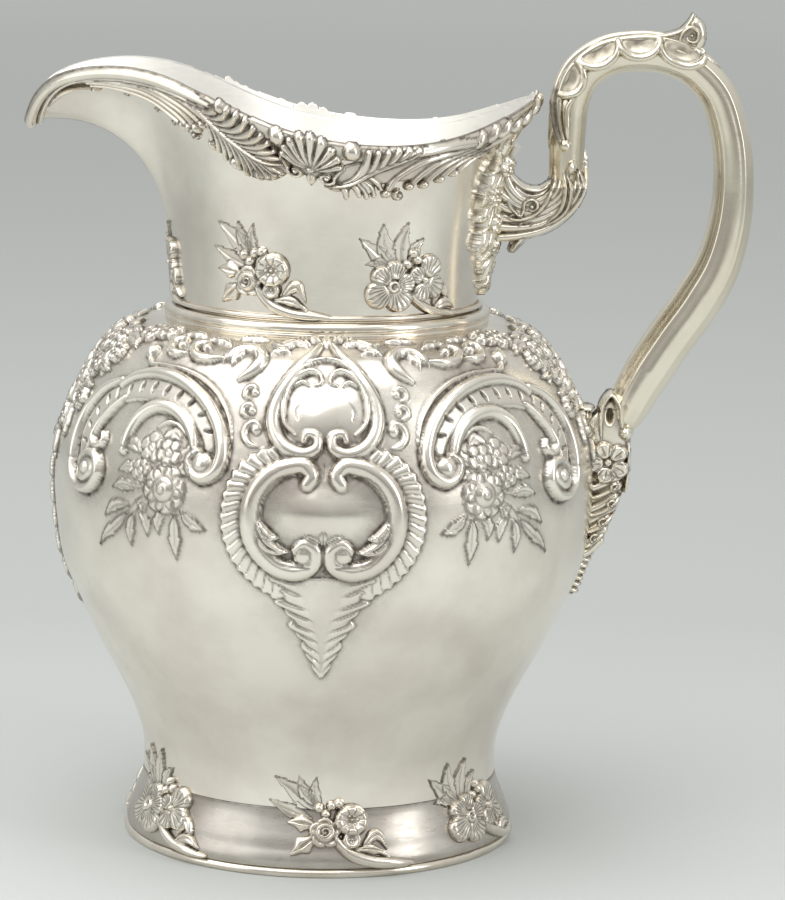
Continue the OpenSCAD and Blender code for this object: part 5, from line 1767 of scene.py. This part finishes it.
@dataclass
class ScrollHandle:
    """The hollow handle, the leaf along its bow and the thumb scroll.

    Attributes:
        start: Upper end, as x and z, hidden in the calyx.
        tuck: Length of the tube that is hidden there.
        bow_low: Corner from which the bow's shares run.
        bow_high: Corner to which they run.
        arm_low: Lower end.
        bow: Shares of the bow's points.
        arm: Shares of the arm's points.
        thickness: Half thickness by the share of the length.
        power: Power of the lozenge section.
        leaf_run: Length of the leaf along the handle.
        leaf_arc: Length of one degree round the leaf, on its drawing.
    """

    start: Point = (71.5, 200.0)
    tuck: float = 7.0
    bow_low: Point = (71.5, 204.0)
    bow_high: Point = (121.8, 239.9)
    arm_low: Point = (90.5, 127.0)
    bow: Path = ((0, 0.36), (0.015, 0.585), (0.08, 0.81), (0.21, 0.95), (0.37, 1), (0.55, 0.99),
                 (0.735, 0.89), (0.875, 0.7), (0.965, 0.375), (1, 0))
    arm: Path = ((0.975, 0.805), (0.865, 0.635), (0.68, 0.495), (0.43, 0.345), (0.24, 0.22), (0.09, 0.105),
                 (0, 0))
    thickness: Path = ((0, 5.4), (0.38, 5.4), (0.58, 6.2), (0.75, 7.4), (0.9, 7.4), (0.965, 6.5),
                       (0.99, 5.2), (1, 4))
    power: float = 1.75
    leaf_run: float = 63.0
    leaf_arc: float = 0.105

    def __post_init__(self) -> None:
        """Works out the middle line and its running length."""
        elbow = (self.bow_high[0], self.bow_low[1])
        bow = between(self.bow_low, self.bow_high, self.bow)
        self.middle = through([self.start, *bow, *between(self.arm_low, elbow, self.arm)], 0.25)
        self.run = running(self.middle)
        self.length = float(self.run[-1])

    def point(self, s: Array, psi: Array) -> Array:
        """Gives the point at the run s and psi degrees round from the outer side, towards the back."""
        def line(x: Array) -> Array:
            """Gives the middle line at the run x."""
            return np.stack([np.interp(x, self.run, self.middle[:, i]) for i in (0, 1)], -1)

        way = line(np.minimum(s + 1.2, self.length)) - line(np.maximum(s - 1.2, 0))
        way /= np.linalg.norm(way, axis=-1, keepdims=True)
        shares, halves = zip(*self.thickness)
        r = np.interp(s / self.length, shares, halves)
        cos, sin = np.cos(np.radians(psi)), np.sin(np.radians(psi))
        r = r / (np.abs(cos) ** self.power + np.abs(sin) ** self.power) ** (1 / self.power)
        c = line(s)
        return np.stack([c[..., 0] - r * cos * way[..., 1], r * sin, c[..., 1] + r * cos * way[..., 0]], -1)

    def build(self) -> None:
        """Makes the tube, the leaf and the thumb scroll."""
        self.build_tube()
        self.build_leaf()
        self.build_scroll()

    def build_tube(self) -> None:
        """Makes the tube, with a soft bead along each side of its facets."""
        def place(x: Array, y: Array) -> Array:
            """Gives the point at the share x round the tube and the share y along it."""
            psi = 360 * x
            bead = sum(np.exp(-(((psi - c) / 7) ** 2)) for c in (58, 122, 238, 302))
            fade = np.clip((y - 0.22) / 0.1, 0, 1)
            base = self.point(self.length * y, psi)
            core = np.stack([np.interp(self.length * y, self.run, self.middle[:, 0]), 0 * y,
                             np.interp(self.length * y, self.run, self.middle[:, 1])], -1)
            out = base - core
            return base + (0.4 * bead * fade)[:, None] * out / np.linalg.norm(out, axis=1, keepdims=True)

        tube = wrapped_grid("handle_tube", 96, 300, place)
        bpy.ops.object.mode_set(mode="EDIT")
        bpy.ops.mesh.select_all(action="DESELECT")
        bpy.ops.mesh.select_mode(type="EDGE")
        bpy.ops.mesh.select_non_manifold()
        bpy.ops.mesh.fill_holes(sides=0)
        bpy.ops.mesh.select_all(action="SELECT")
        bpy.ops.mesh.normals_make_consistent(inside=False)
        bpy.ops.object.mode_set(mode="OBJECT")
        hand_over(tube, HANDLE, "handle_front_half", "handle_back_half")

    def build_leaf(self) -> None:
        """Makes the leaf over the bow: two reeds along its middle and a row of scoops down each side."""
        sheet = Relief((2.0, -14.0), (self.leaf_run + 6.0, 14.0), 0.28, -0.5, ink=0.7)
        sheet.boss((36, 0), 32, 0.7, 4.6, 0, Section.BLUNT)
        for hand in (-1, 1):
            def sided(*points: Point, hand: int = hand) -> list[Point]:
                """Takes points to one side of the leaf."""
                return [(s, c * hand) for s, c in points]

            for at, wide in ((24, 4.4), (34.2, 5.2), (45.2, 5.6), (57, 6.2)):
                sheet.boss((at, 6.4 * hand), wide - 0.2, 1.1, 4.4, 0, Section.BLUNT)
                rim = sided((at - wide, 4.4), (at - 0.98 * wide, 6.6), (at - 0.7 * wide, 9.2), (at, 10.4),
                            (at + 0.7 * wide, 9.2), (at + 0.98 * wide, 6.6), (at + wide, 4.4))
                sheet.ridge(rim, 2.3, 1.9, (0.9, 0.9))
                sheet.swell((at, 6.4 * hand), wide - 0.9, -0.95, 3.3)
                # The inner half of each scoop is painted dark: painted shade.
                sheet.stroke(sided((at - 0.5 * wide, 5.8), (at + 0.5 * wide, 5.8)), lambda t: 2.6 + 0 * t,
                             lambda x, t: 0.8 * np.sqrt(1 - x * x), Mode.MARK)
            sheet.ridge(sided((7, 9.2), (12.5, 8.6), (17, 8.4), (20.4, 9.6)), 2, 1.7)
            sheet.ridge(sided((6.4, 8.2), (12, 6.2), (20, 4.4), (30, 3.9), (45, 3.7), (62, 2.8)), 2.2, 1.5,
                        (0.6, 0.5))
            sheet.ridge(sided((6, 7.2), (12, 4), (22, 1.8), (40, 1.6), (62, 1.1)), 2.6, 1.7, (0.6, 0.7))
            sheet.boss((5.4, 8.4 * hand), 1.9, 2.2)
            # The panel between the two ridges is painted dark: painted shade.
            sheet.stroke(sided((8, 6), (14, 4.6), (20, 3)), lambda t: 1.8 + 0 * t,
                         lambda x, t: 0.85 * (1 - x * x), Mode.MARK)
        dark = np.maximum(sheet.hollows(1.2, 0.7), 0.5 * sheet.hollows(3.0, 1.0))

        def surface(s: Array, c: Array) -> Array:
            """Gives the point at the run s and the arc c from the outer side, towards the back."""
            return self.point(s + self.tuck, c / self.leaf_arc)

        def place(u: Array, v: Array, h: Array) -> Array:
            """Puts the drawing on the handle."""
            return lifted(surface, u, v, h + 0.1)

        hand_over(casting("handle_leaf_casting", sheet, place, 0.6, dark), HANDLE, "handle_leaf")

    def build_scroll(self) -> None:
        """Makes the thumb scroll as two mirrored faces, with a volute on each."""
        sheet = Relief((84.0, 232.0), (114.0, 255.0), 0.22, -0.5, ink=0.95)
        sheet.bed([(87, 242.8), (94, 243.9), (99, 244.6), (103, 245.2), (106, 247), (107.6, 249.6),
                   (108.3, 251.6)], 3.6, (0.7, 0.3))
        sheet.bed([(108.3, 251.2), (110.2, 247.8), (110.4, 244.6), (108.8, 241.6)], 3.2, (0.3, 0.7))
        sheet.boss((107.3, 245.6), 3.9, 1, section=Section.BLUNT)
        sheet.bed([(98, 241.8), (103, 241.6), (107.6, 241.4)], 4.4, (0.6, 0.8))
        sheet.thicken(1.9, 1.2)
        sheet.ridge([(88, 244.2), (95, 245.2), (101, 246), (104.6, 247.4), (106.8, 250), (107.9, 252.2)],
                    1.6, 3.6, (0.5, 0.4))
        sheet.ridge([(104.4, 242.2), (104.4, 246.2), (107.2, 248.4), (109.4, 246.6), (108.6, 244),
                     (106.4, 244.4), (106.2, 246.2)], 1.5, 4.4)
        sheet.boss((107.5, 245.9), 0.8, 4.2)
        sheet.boss((108.4, 241.4), 1.5, 3.8)
        dark = sheet.hollows(0.9, 0.9)
        hand_over(two_faced("thumb_scroll_casting", sheet, dark), HANDLE, "thumb_scroll")


def two_faced(name: str, sheet: Relief, dark: Array) -> bpy.types.Object:
    """Makes a casting that is drawn in profile, as x and z, with the same relief at front and back.

    Args:
        name: Name of the piece.
        sheet: The drawing.
        dark: Darkness of each grid point.

    Returns:
        The new object, closed on its middle plane.
    """
    def face(hand: int) -> Place:
        """Gives the rule that puts the drawing in front (-1) or behind (1)."""
        return lambda x, z, h: np.stack([x, hand * np.maximum(h, 0.0), z], -1)

    front = casting(name, sheet, face(-1), 0.0, dark)
    return joined(name, [front, casting(f"{name}_back", sheet, face(1), 0.0, dark, flip=True)])


@dataclass
class HandleSockets:
    """The castings that carry the handle: calyx and flower drop on the neck, flower bracket on the body.

    Attributes:
        neck: The neck.
        step: Spacing of the relief's grid.
    """

    neck: SpoutedNeck
    step: float = 0.26

    def build(self) -> None:
        """Makes the three castings."""
        self.build_calyx()
        self.build_drop()
        self.build_bracket()

    def flute(self, sheet: Relief, first: Path, last: Path, count: int, width: Point,
              floor: float, rise: float) -> None:
        """Fills the space between two lines with flutes that lie side by side.

        Args:
            sheet: The drawing.
            first: Line on one side.
            last: Line on the other, of as many points.
            count: Number of flutes.
            width: Width of a flute at its start and at its end.
            floor: Height of the edges of a flute.
            rise: Height of its crown above them.
        """
        a, b = np.asarray(first, float), np.asarray(last, float)
        for share in np.linspace(0, 1, count):
            sheet.stroke(
                through(a + share * (b - a), 0.5),
                lambda t: (width[0] + t * (width[1] - width[0])) / 2,
                lambda x, t: floor + rise * np.sqrt(1 - x * x),
            )

    def build_calyx(self) -> None:
        """Makes the calyx under the handle's upper end: nested scrolls that curl round an open loop."""
        sheet = Relief((44.0, 172.0), (82.0, 217.0), self.step, -0.5, ink=0.95)
        bulk = [(72, 209), (72.2, 205), (71.4, 199.8), (68.4, 195.2), (63.4, 192), (57, 190.8), (49, 191.4)]
        sheet.stroke(through(bulk, 0.5), lambda t: 5.2 + 1.8 * np.clip(t / 0.6, 0, 1),
                     lambda x, t: 1.0 + 0 * x)
        sheet.bed([(50.6, 190), (51, 199), (52.4, 207.6)], 6.6, (1, 0.6))
        sheet.bed([(62, 186.4), (58, 184), (55.4, 180.6)], 3.6, (1, 0.7))
        sheet.thicken(4.6, 3)
        outer = ((77, 207), (77, 201.2), (75.6, 196.8), (72.8, 193), (69, 189.8), (64.6, 187.2),
                 (58.6, 185.4), (50, 184.4))
        inner = ((68, 206), (67.6, 202), (66.4, 198.8), (64, 196.8), (61, 195.8), (57.8, 196.4), (55, 199),
                 (52.6, 204))
        self.flute(sheet, outer, inner, 7, (1.4, 3), 5, 2.2)
        for path, width, height in (
            (((52.6, 206.6), (55.6, 201.6), (59.4, 199.2), (63.4, 199), (66.6, 201.6)), 2.3, 6.8),
            (((66.4, 200.2), (63.2, 197.6), (59.6, 197.2), (56.4, 199.2), (54, 203)), 3.2, 6.4),
            (((48.8, 204.6), (51.6, 199.8), (54.6, 196)), 2, 6.8),
            (((48.4, 199.6), (50.6, 196), (53.6, 193.4)), 1.9, 6.6),
            (((65, 188.4), (60.6, 186), (57.4, 183.4), (55.4, 180.4)), 2, 6.4),
        ):
            sheet.ridge(path, width, height, (0.6, 0.55))
        # The handle's end covers the calyx's upper outer corner, which is let down for it.
        upper, outward = np.clip((sheet.v - 200) / 6, 0, 1)[:, None], np.clip((sheet.u - 62) / 4, 0, 1)
        sheet.height *= np.where(sheet.height > 0, 1 - 0.85 * upper * outward, 1)
        sheet.curl((60.8, 194.2), 2.6, 200, -1.3, 1.7, 8.6, [(52.4, 198), (54.6, 193.6), (57.6, 191.4)])
        sheet.ridge([(67.4, 202.6), (66.4, 198.4), (63.6, 193.4), (60, 190.8), (55.4, 190.2), (51, 192.6)],
                    2.4, 8.2, (0.3, 0.5))
        sheet.leaf([(69.6, 206.4), (71.6, 199), (70.4, 193.4), (66.4, 189.6), (62, 187.4)], 4.4, 8.8)
        for root, tip in (
            ((57.6, 192.4), (50.4, 194)), ((60.8, 190.6), (51.6, 189.8)), ((63.4, 188.9), (55, 187)),
        ):
            sheet.leaf([root, ((root[0] + tip[0]) / 2, (root[1] + tip[1]) / 2 + 0.9), tip], 3, 7.4, 2)
        sheet.leaf([(75.4, 194), (75.6, 200), (74, 206.6)], 3.6, 7)
        sheet.boss((72.4, 205.8), 3.4, 7.6, 2.3, 80)
        dark = np.maximum(sheet.hollows(0.9, 1.0), 0.25 * sheet.hollows(2.6, 2.0))
        hand_over(two_faced("upper_calyx", sheet, dark), WARM, "upper_socket")

    def build_drop(self) -> None:
        """Makes the thick drop of flowers on the back of the neck."""
        sheet = Relief((-20.0, 166.5), (20.0, 214.0), self.step, -0.5, (0.0,), ink=0.4)
        sheet.lone.ridge([(0, 212), (0, 200), (0, 186), (0, 168.7)], 27, 2, (0.9, 0.2), Section.BLUNT)
        for path, width in (
            (((-3, 198), (-9, 206), (-14.6, 212)), 6.6), (((-4, 192), (-11, 197), (-18.4, 201.4)), 6.6),
            (((-3, 186), (-10, 188), (-16.4, 192.6)), 6), (((-2, 180), (-7, 181), (-11.4, 183.6)), 5),
            (((0, 176), (-3.4, 174), (-6.2, 172.6)), 3.8),
        ):
            sheet.leaf(path, width, 2.2, 3)
        clusters = ((-11.6, 205.6, 4.8), (-13.2, 196.4, 5), (-10.6, 187.6, 4.8), (-6, 179.6, 3.9),
                    (-2.4, 173.4, 3))
        for k, (u, v, r) in enumerate(clusters):
            lean = 16 * (-1) ** k
            for way, long in ((170, 1.3), (205, 1.9), (240, 1.6), (275, 2.1), (310, 1.4)):
                turn = math.radians(way + lean)
                tip = (u + long * r * math.cos(turn), v + long * r * math.sin(turn))
                bend = (u + tip[0]) / 2 - 0.05 * lean, (v + tip[1]) / 2 + 0.6
                sheet.leaf([(u + 1.5, v + 1.2), bend, tip], 0.75 * r, 3.4, 2)
            sheet.blossom((u + 2.4 + 0.06 * lean, v + 1.8), 0.75 * r, 3.9, 5, 40 * u)
        for u, v, r in (
            (-16.6, 201, 1.8), (-15.6, 191.6, 1.8), (-11, 183.2, 1.7), (-5.6, 176, 1.3), (-4, 208, 2.4),
            (-5.4, 193, 2.2), (-3.4, 184.4, 2),
        ):
            sheet.boss((u, v), r, 3)
        sheet.lone.rose((0, 170.4), 3, 2.8)
        sheet.height += np.where(sheet.height > 0, 2.8 * np.exp(-((sheet.u / 10) ** 2))[None, :], 0)
        slim = 1 - 0.35 * np.clip((184 - sheet.v) / 10, 0, 1)[:, None]
        sheet.height = np.where(sheet.height > 0, slim * sheet.height, sheet.height)
        dark = 0.6 * sheet.hollows(0.8, 0.9)
        seat = PI / 2 * self.neck.neck_r

        def place(u: Array, v: Array, h: Array) -> Array:
            """Puts the drawing on the back of the neck."""
            return lifted(self.neck.point, u + seat, v, h + 0.1)

        hand_over(casting("upper_flower_drop", sheet, place, 0.7, dark), WARM, "upper_backplate")

    def build_bracket(self) -> None:
        """Makes the bracket under the handle's lower end: leaf loop, flower, fronds and banded tail."""
        sheet = Relief((68.0, 72.0), (98.0, 141.0), self.step, -0.5, ink=0.95)
        spine = [(86.4, 126), (86.4, 118), (85.8, 109), (84, 101), (80.8, 92), (77.8, 84), (76, 75.6)]
        sheet.stroke(through(spine, 0.5), lambda t: 6.8 * (1 - 0.8 * t**1.5), lambda x, t: 1.0 + 0 * x)
        sheet.bed([(81.6, 120), (79.6, 126), (79.4, 132.4)], 3.6, (1, 0.8))
        sheet.bed([(86.6, 124), (86.4, 131), (86.6, 136.4)], 7, (1, 0.5))
        sheet.thicken(4.4, 2.6)
        for path, width, height in (
            (((84, 123.6), (83.6, 129.6), (84.4, 134.4), (86.6, 137), (89, 134.2), (90, 128.6),
              (91.6, 123)), 2, 6.6),
            (((82, 119), (79.9, 125), (79.4, 132)), 2.2, 6.2), (((77.6, 132.6), (81.2, 132.6)), 2.2, 6.4),
            (((80.4, 112), (79.6, 106), (78.8, 99), (77.6, 92.4)), 2.4, 5.6),
            (((92.4, 122), (92.4, 114), (91.8, 107)), 1.9, 5.6),
        ):
            sheet.ridge(path, width, height, (0.7, 0.6))
        sheet.swell((86.4, 130.6), 1.5, -3, 3.4)
        sheet.boss((91.2, 125.4), 2.8, 6.6)
        upper, lower = ((79, 107.6), (83.6, 109), (90.2, 112.8)), ((77.4, 87), (80.4, 88.4), (84.4, 92.2))
        self.flute(sheet, upper, lower, 7, (2.6, 3.2), 4.4, 2.2)
        for root, mid, tip, eye in (
            ((79.2, 105), (84, 106.2), (90.6, 110.4), (88.4, 108.4)),
            ((79, 99.6), (84.4, 101), (90.4, 106), (87.6, 103.2)),
            ((78.4, 94.2), (82.6, 95.6), (88.4, 100.4), (85, 97.6)),
            ((77.8, 89.4), (81, 90.8), (86, 95.4), (82.6, 92.6)),
        ):
            sheet.ridge([root, mid, tip], 2.4, 7.4, (0.5, 0.5))
            sheet.curl(eye, 1.8, 20, 1, 1.3, 7.6)
        for z in (109.6, 105.2, 100.6, 96, 91.6):
            sheet.boss((79.4 - (108.6 - z) * 0.13, z), 1.9, 6, 2.4)
        at = np.array([86.2, 116.4])
        for k in range(5):
            turn = 42 + 72 * k
            angle = math.radians(turn)
            way = heading(angle)
            sheet.boss(tuple(at + 4 * way), 3.1, 7.4 + 0.15 * (k % 2), 3.2, turn, Section.BLUNT)
            sheet.swell(tuple(at + 3.4 * way), 2.6, -0.7, 2.4, turn)
            for fan in (-0.45, 0, 0.45):
                ray = heading(angle + fan)
                sheet.line([at + 2.4 * ray, at + 5.6 * ray], 0.5, 0.2)
        sheet.boss(tuple(at), 1.7, 7.6)
        sheet.swell(tuple(at), 0.9, -1.2)
        for i in range(7):
            z, x = 88 - 2 * i, 79.8 - 0.66 * i
            sheet.ridge([(x - 2.6 + 0.1 * i, z + 0.9), (x + 2.4 - 0.1 * i, z - 0.4)], 2.1, 5.2 - 0.4 * i,
                        (0.8, 0.8))
        dark = np.maximum(sheet.hollows(0.9, 1.0), 0.25 * sheet.hollows(2.6, 2.0))
        hand_over(two_faced("lower_flower_bracket", sheet, dark), WARM, "lower_socket")


def standing(right: Array, up: Array, ahead: Array, at: Sequence[float]) -> Matrix:
    """Gives the matrix of a camera or lamp that stands at a place, in metres, and looks ahead."""
    return Matrix([[right[i], up[i], -ahead[i], at[i]] for i in range(3)] + [[0, 0, 0, 1]])


@dataclass
class Studio:
    """Camera at the photograph's angle, a pale floor, soft boxes and a light tent.

    Attributes:
        eye: Place of the camera.
        yaw: Turn to the right, in radians.
        pitch: Tilt down.
        roll: Turn about the line of sight.
        lens: Focal length for a frame 36 mm tall.
        floor_size: Side of the floor.
        fade_run: Nearest and farthest place of the paper's painted change of colour.
        paper: Colour of the paper at places away from the camera, painted darkest just behind the ewer as
            painted shade, and paler nearer and farther as painted light.
    """

    eye: tuple[float, float, float] = (0.0, -1100.0, 308.04)
    yaw: float = 0.018775
    pitch: float = 0.17095
    roll: float = 0.020773
    lens: float = 146.33
    floor_size: float = 16.0
    fade_run: Point = (-0.2, 5.0)
    # Painted shade and light: the paper's colour is darkest just behind the ewer and paler nearer and farther
    # away.
    paper: tuple[tuple[float, str], ...] = (
        (-0.2, "#CBCECC"), (0.3, "#B1B4B2"), (1.25, "#B5B8B6"), (5.0, "#C8CBCA"))

    def build(self) -> None:
        """Sets up the camera, the floor, the lamps and the world."""
        self.build_camera()
        self.build_floor()
        self.build_lamps()
        self.build_world()
        bpy.context.scene.view_settings.view_transform = "Standard"

    def build_camera(self) -> None:
        """Places the camera."""
        level = math.cos(self.pitch)
        ahead = np.array([math.sin(self.yaw) * level, math.cos(self.yaw) * level, -math.sin(self.pitch)])
        right = np.array([math.cos(self.yaw), -math.sin(self.yaw), 0.0])
        up = np.cross(right, ahead)
        side = math.cos(self.roll) * right + math.sin(self.roll) * up
        top = -math.sin(self.roll) * right + math.cos(self.roll) * up
        data = bpy.data.cameras.new("camera")
        data.sensor_fit = "VERTICAL"
        data.sensor_height = 36.0
        data.lens = self.lens
        data.clip_end = 50.0
        camera = bpy.data.objects.new("camera", data)
        bpy.context.scene.collection.objects.link(camera)
        camera.matrix_world = standing(side, top, ahead, [x * MM for x in self.eye])
        bpy.context.scene.camera = camera

    def build_floor(self) -> None:
        """Lays the floor, which fills the picture; its colour is painted darkest just behind the ewer and
        paler farther away, as painted shade and light where the lamps' light falls off.
        """
        deselect()
        bpy.ops.mesh.primitive_plane_add(size=self.floor_size)
        floor = bpy.context.object
        floor.name = "floor"
        made = bpy.data.materials.new("Matt_paper_grey_with_painted_shade")
        nodes = Nodes(made)
        place = nodes.add("TexCoord", {}, "Object")
        near, far = self.fade_run
        share = nodes.spread(nodes.add("SeparateXYZ", {0: place}, "Y"), self.fade_run)
        paper = nodes.add("ValToRGB", {0: share})
        stops = paper.node.color_ramp.elements
        for _ in self.paper[2:]:
            stops.new(0.5)
        for stop, (y, colour) in zip(stops, self.paper):
            stop.position = (y - near) / (far - near)
            stop.color = linear(colour)
        nodes.fill(nodes.tree.nodes["Principled BSDF"], {"Roughness": 0.85, "Base Color": paper})
        floor.data.materials.append(made)

    def build_lamps(self) -> None:
        """Hangs the soft boxes."""
        for name, at, aim, size, power in (
            ("overhead_box", (-0.3, -0.2, 1.5), (0, 0, 0.1), (1.8, 1.8), 18.0),
            ("left_box", (-1.5, -0.9, 0.8), (0, 0, 0.12), (1.2, 1.4), 4.5),
            ("right_box", (1.4, -0.9, 0.8), (0, 0, 0.12), (0.5, 1.3), 6.0),
        ):
            data = bpy.data.lights.new(name, "AREA")
            data.shape = "RECTANGLE"
            data.size, data.size_y = size
            data.energy = power
            lamp = bpy.data.objects.new(name, data)
            bpy.context.scene.collection.objects.link(lamp)
            way = np.array(aim) - np.array(at)
            ahead = way / np.linalg.norm(way)
            right = np.cross(ahead, (0, 0.001, 1))
            right /= np.linalg.norm(right)
            up = np.cross(right, ahead)
            lamp.matrix_world = standing(right, up, ahead, at)

    def build_world(self) -> None:
        """Lights the tent: bright above, paler behind, greyer on the camera's side."""
        world = bpy.data.worlds.new("light_tent")
        bpy.context.scene.world = world
        nodes = Nodes(world)
        place = nodes.add("TexCoord", {}, "Generated")
        up, along = (nodes.add("SeparateXYZ", {0: place}, axis) for axis in "ZY")
        height = nodes.spread(up, (-0.1, 0.9), interpolation="SMOOTHSTEP")
        front = nodes.spread(along, (-0.95, -0.2), interpolation="SMOOTHSTEP")
        tent = nodes.mix(height, nodes.mix(front, "#A3A29F", "#C8CAC8"), "#F4F4F2")
        nodes.fill(nodes.tree.nodes["Background"], {"Color": tent, "Strength": 0.9})


def main() -> None:
    """Builds the ewer piece by piece, and the studio round it."""
    logging.basicConfig(level=logging.INFO, format="%(name)s: %(message)s")
    body = ChasedBody()
    foot = FlaredFoot(body)
    neck = SpoutedNeck()
    body.build()
    foot.build()
    neck.build()
    RimBorder(neck).build()
    for number, (degrees, kind) in enumerate(NECK_SPRAYS, 1):
        seat = (math.radians(degrees) * neck.neck_r, NECK_SPRAY_Z)
        FlowerSpray(kind).build(f"neck_spray_{number}", neck.point, seat)
    for number, (degrees, kind) in enumerate(FOOT_SPRAYS, 1):
        seat = (math.radians(degrees) * body.waist_r, FOOT_SPRAY_RUN)
        FlowerSpray(kind, FOOT_SPRAY_SHIFT).build(f"foot_spray_{number}", foot.point, seat)
    ScrollHandle().build()
    HandleSockets(neck).build()
    Studio().build()


if __name__ == "__main__":
    main()
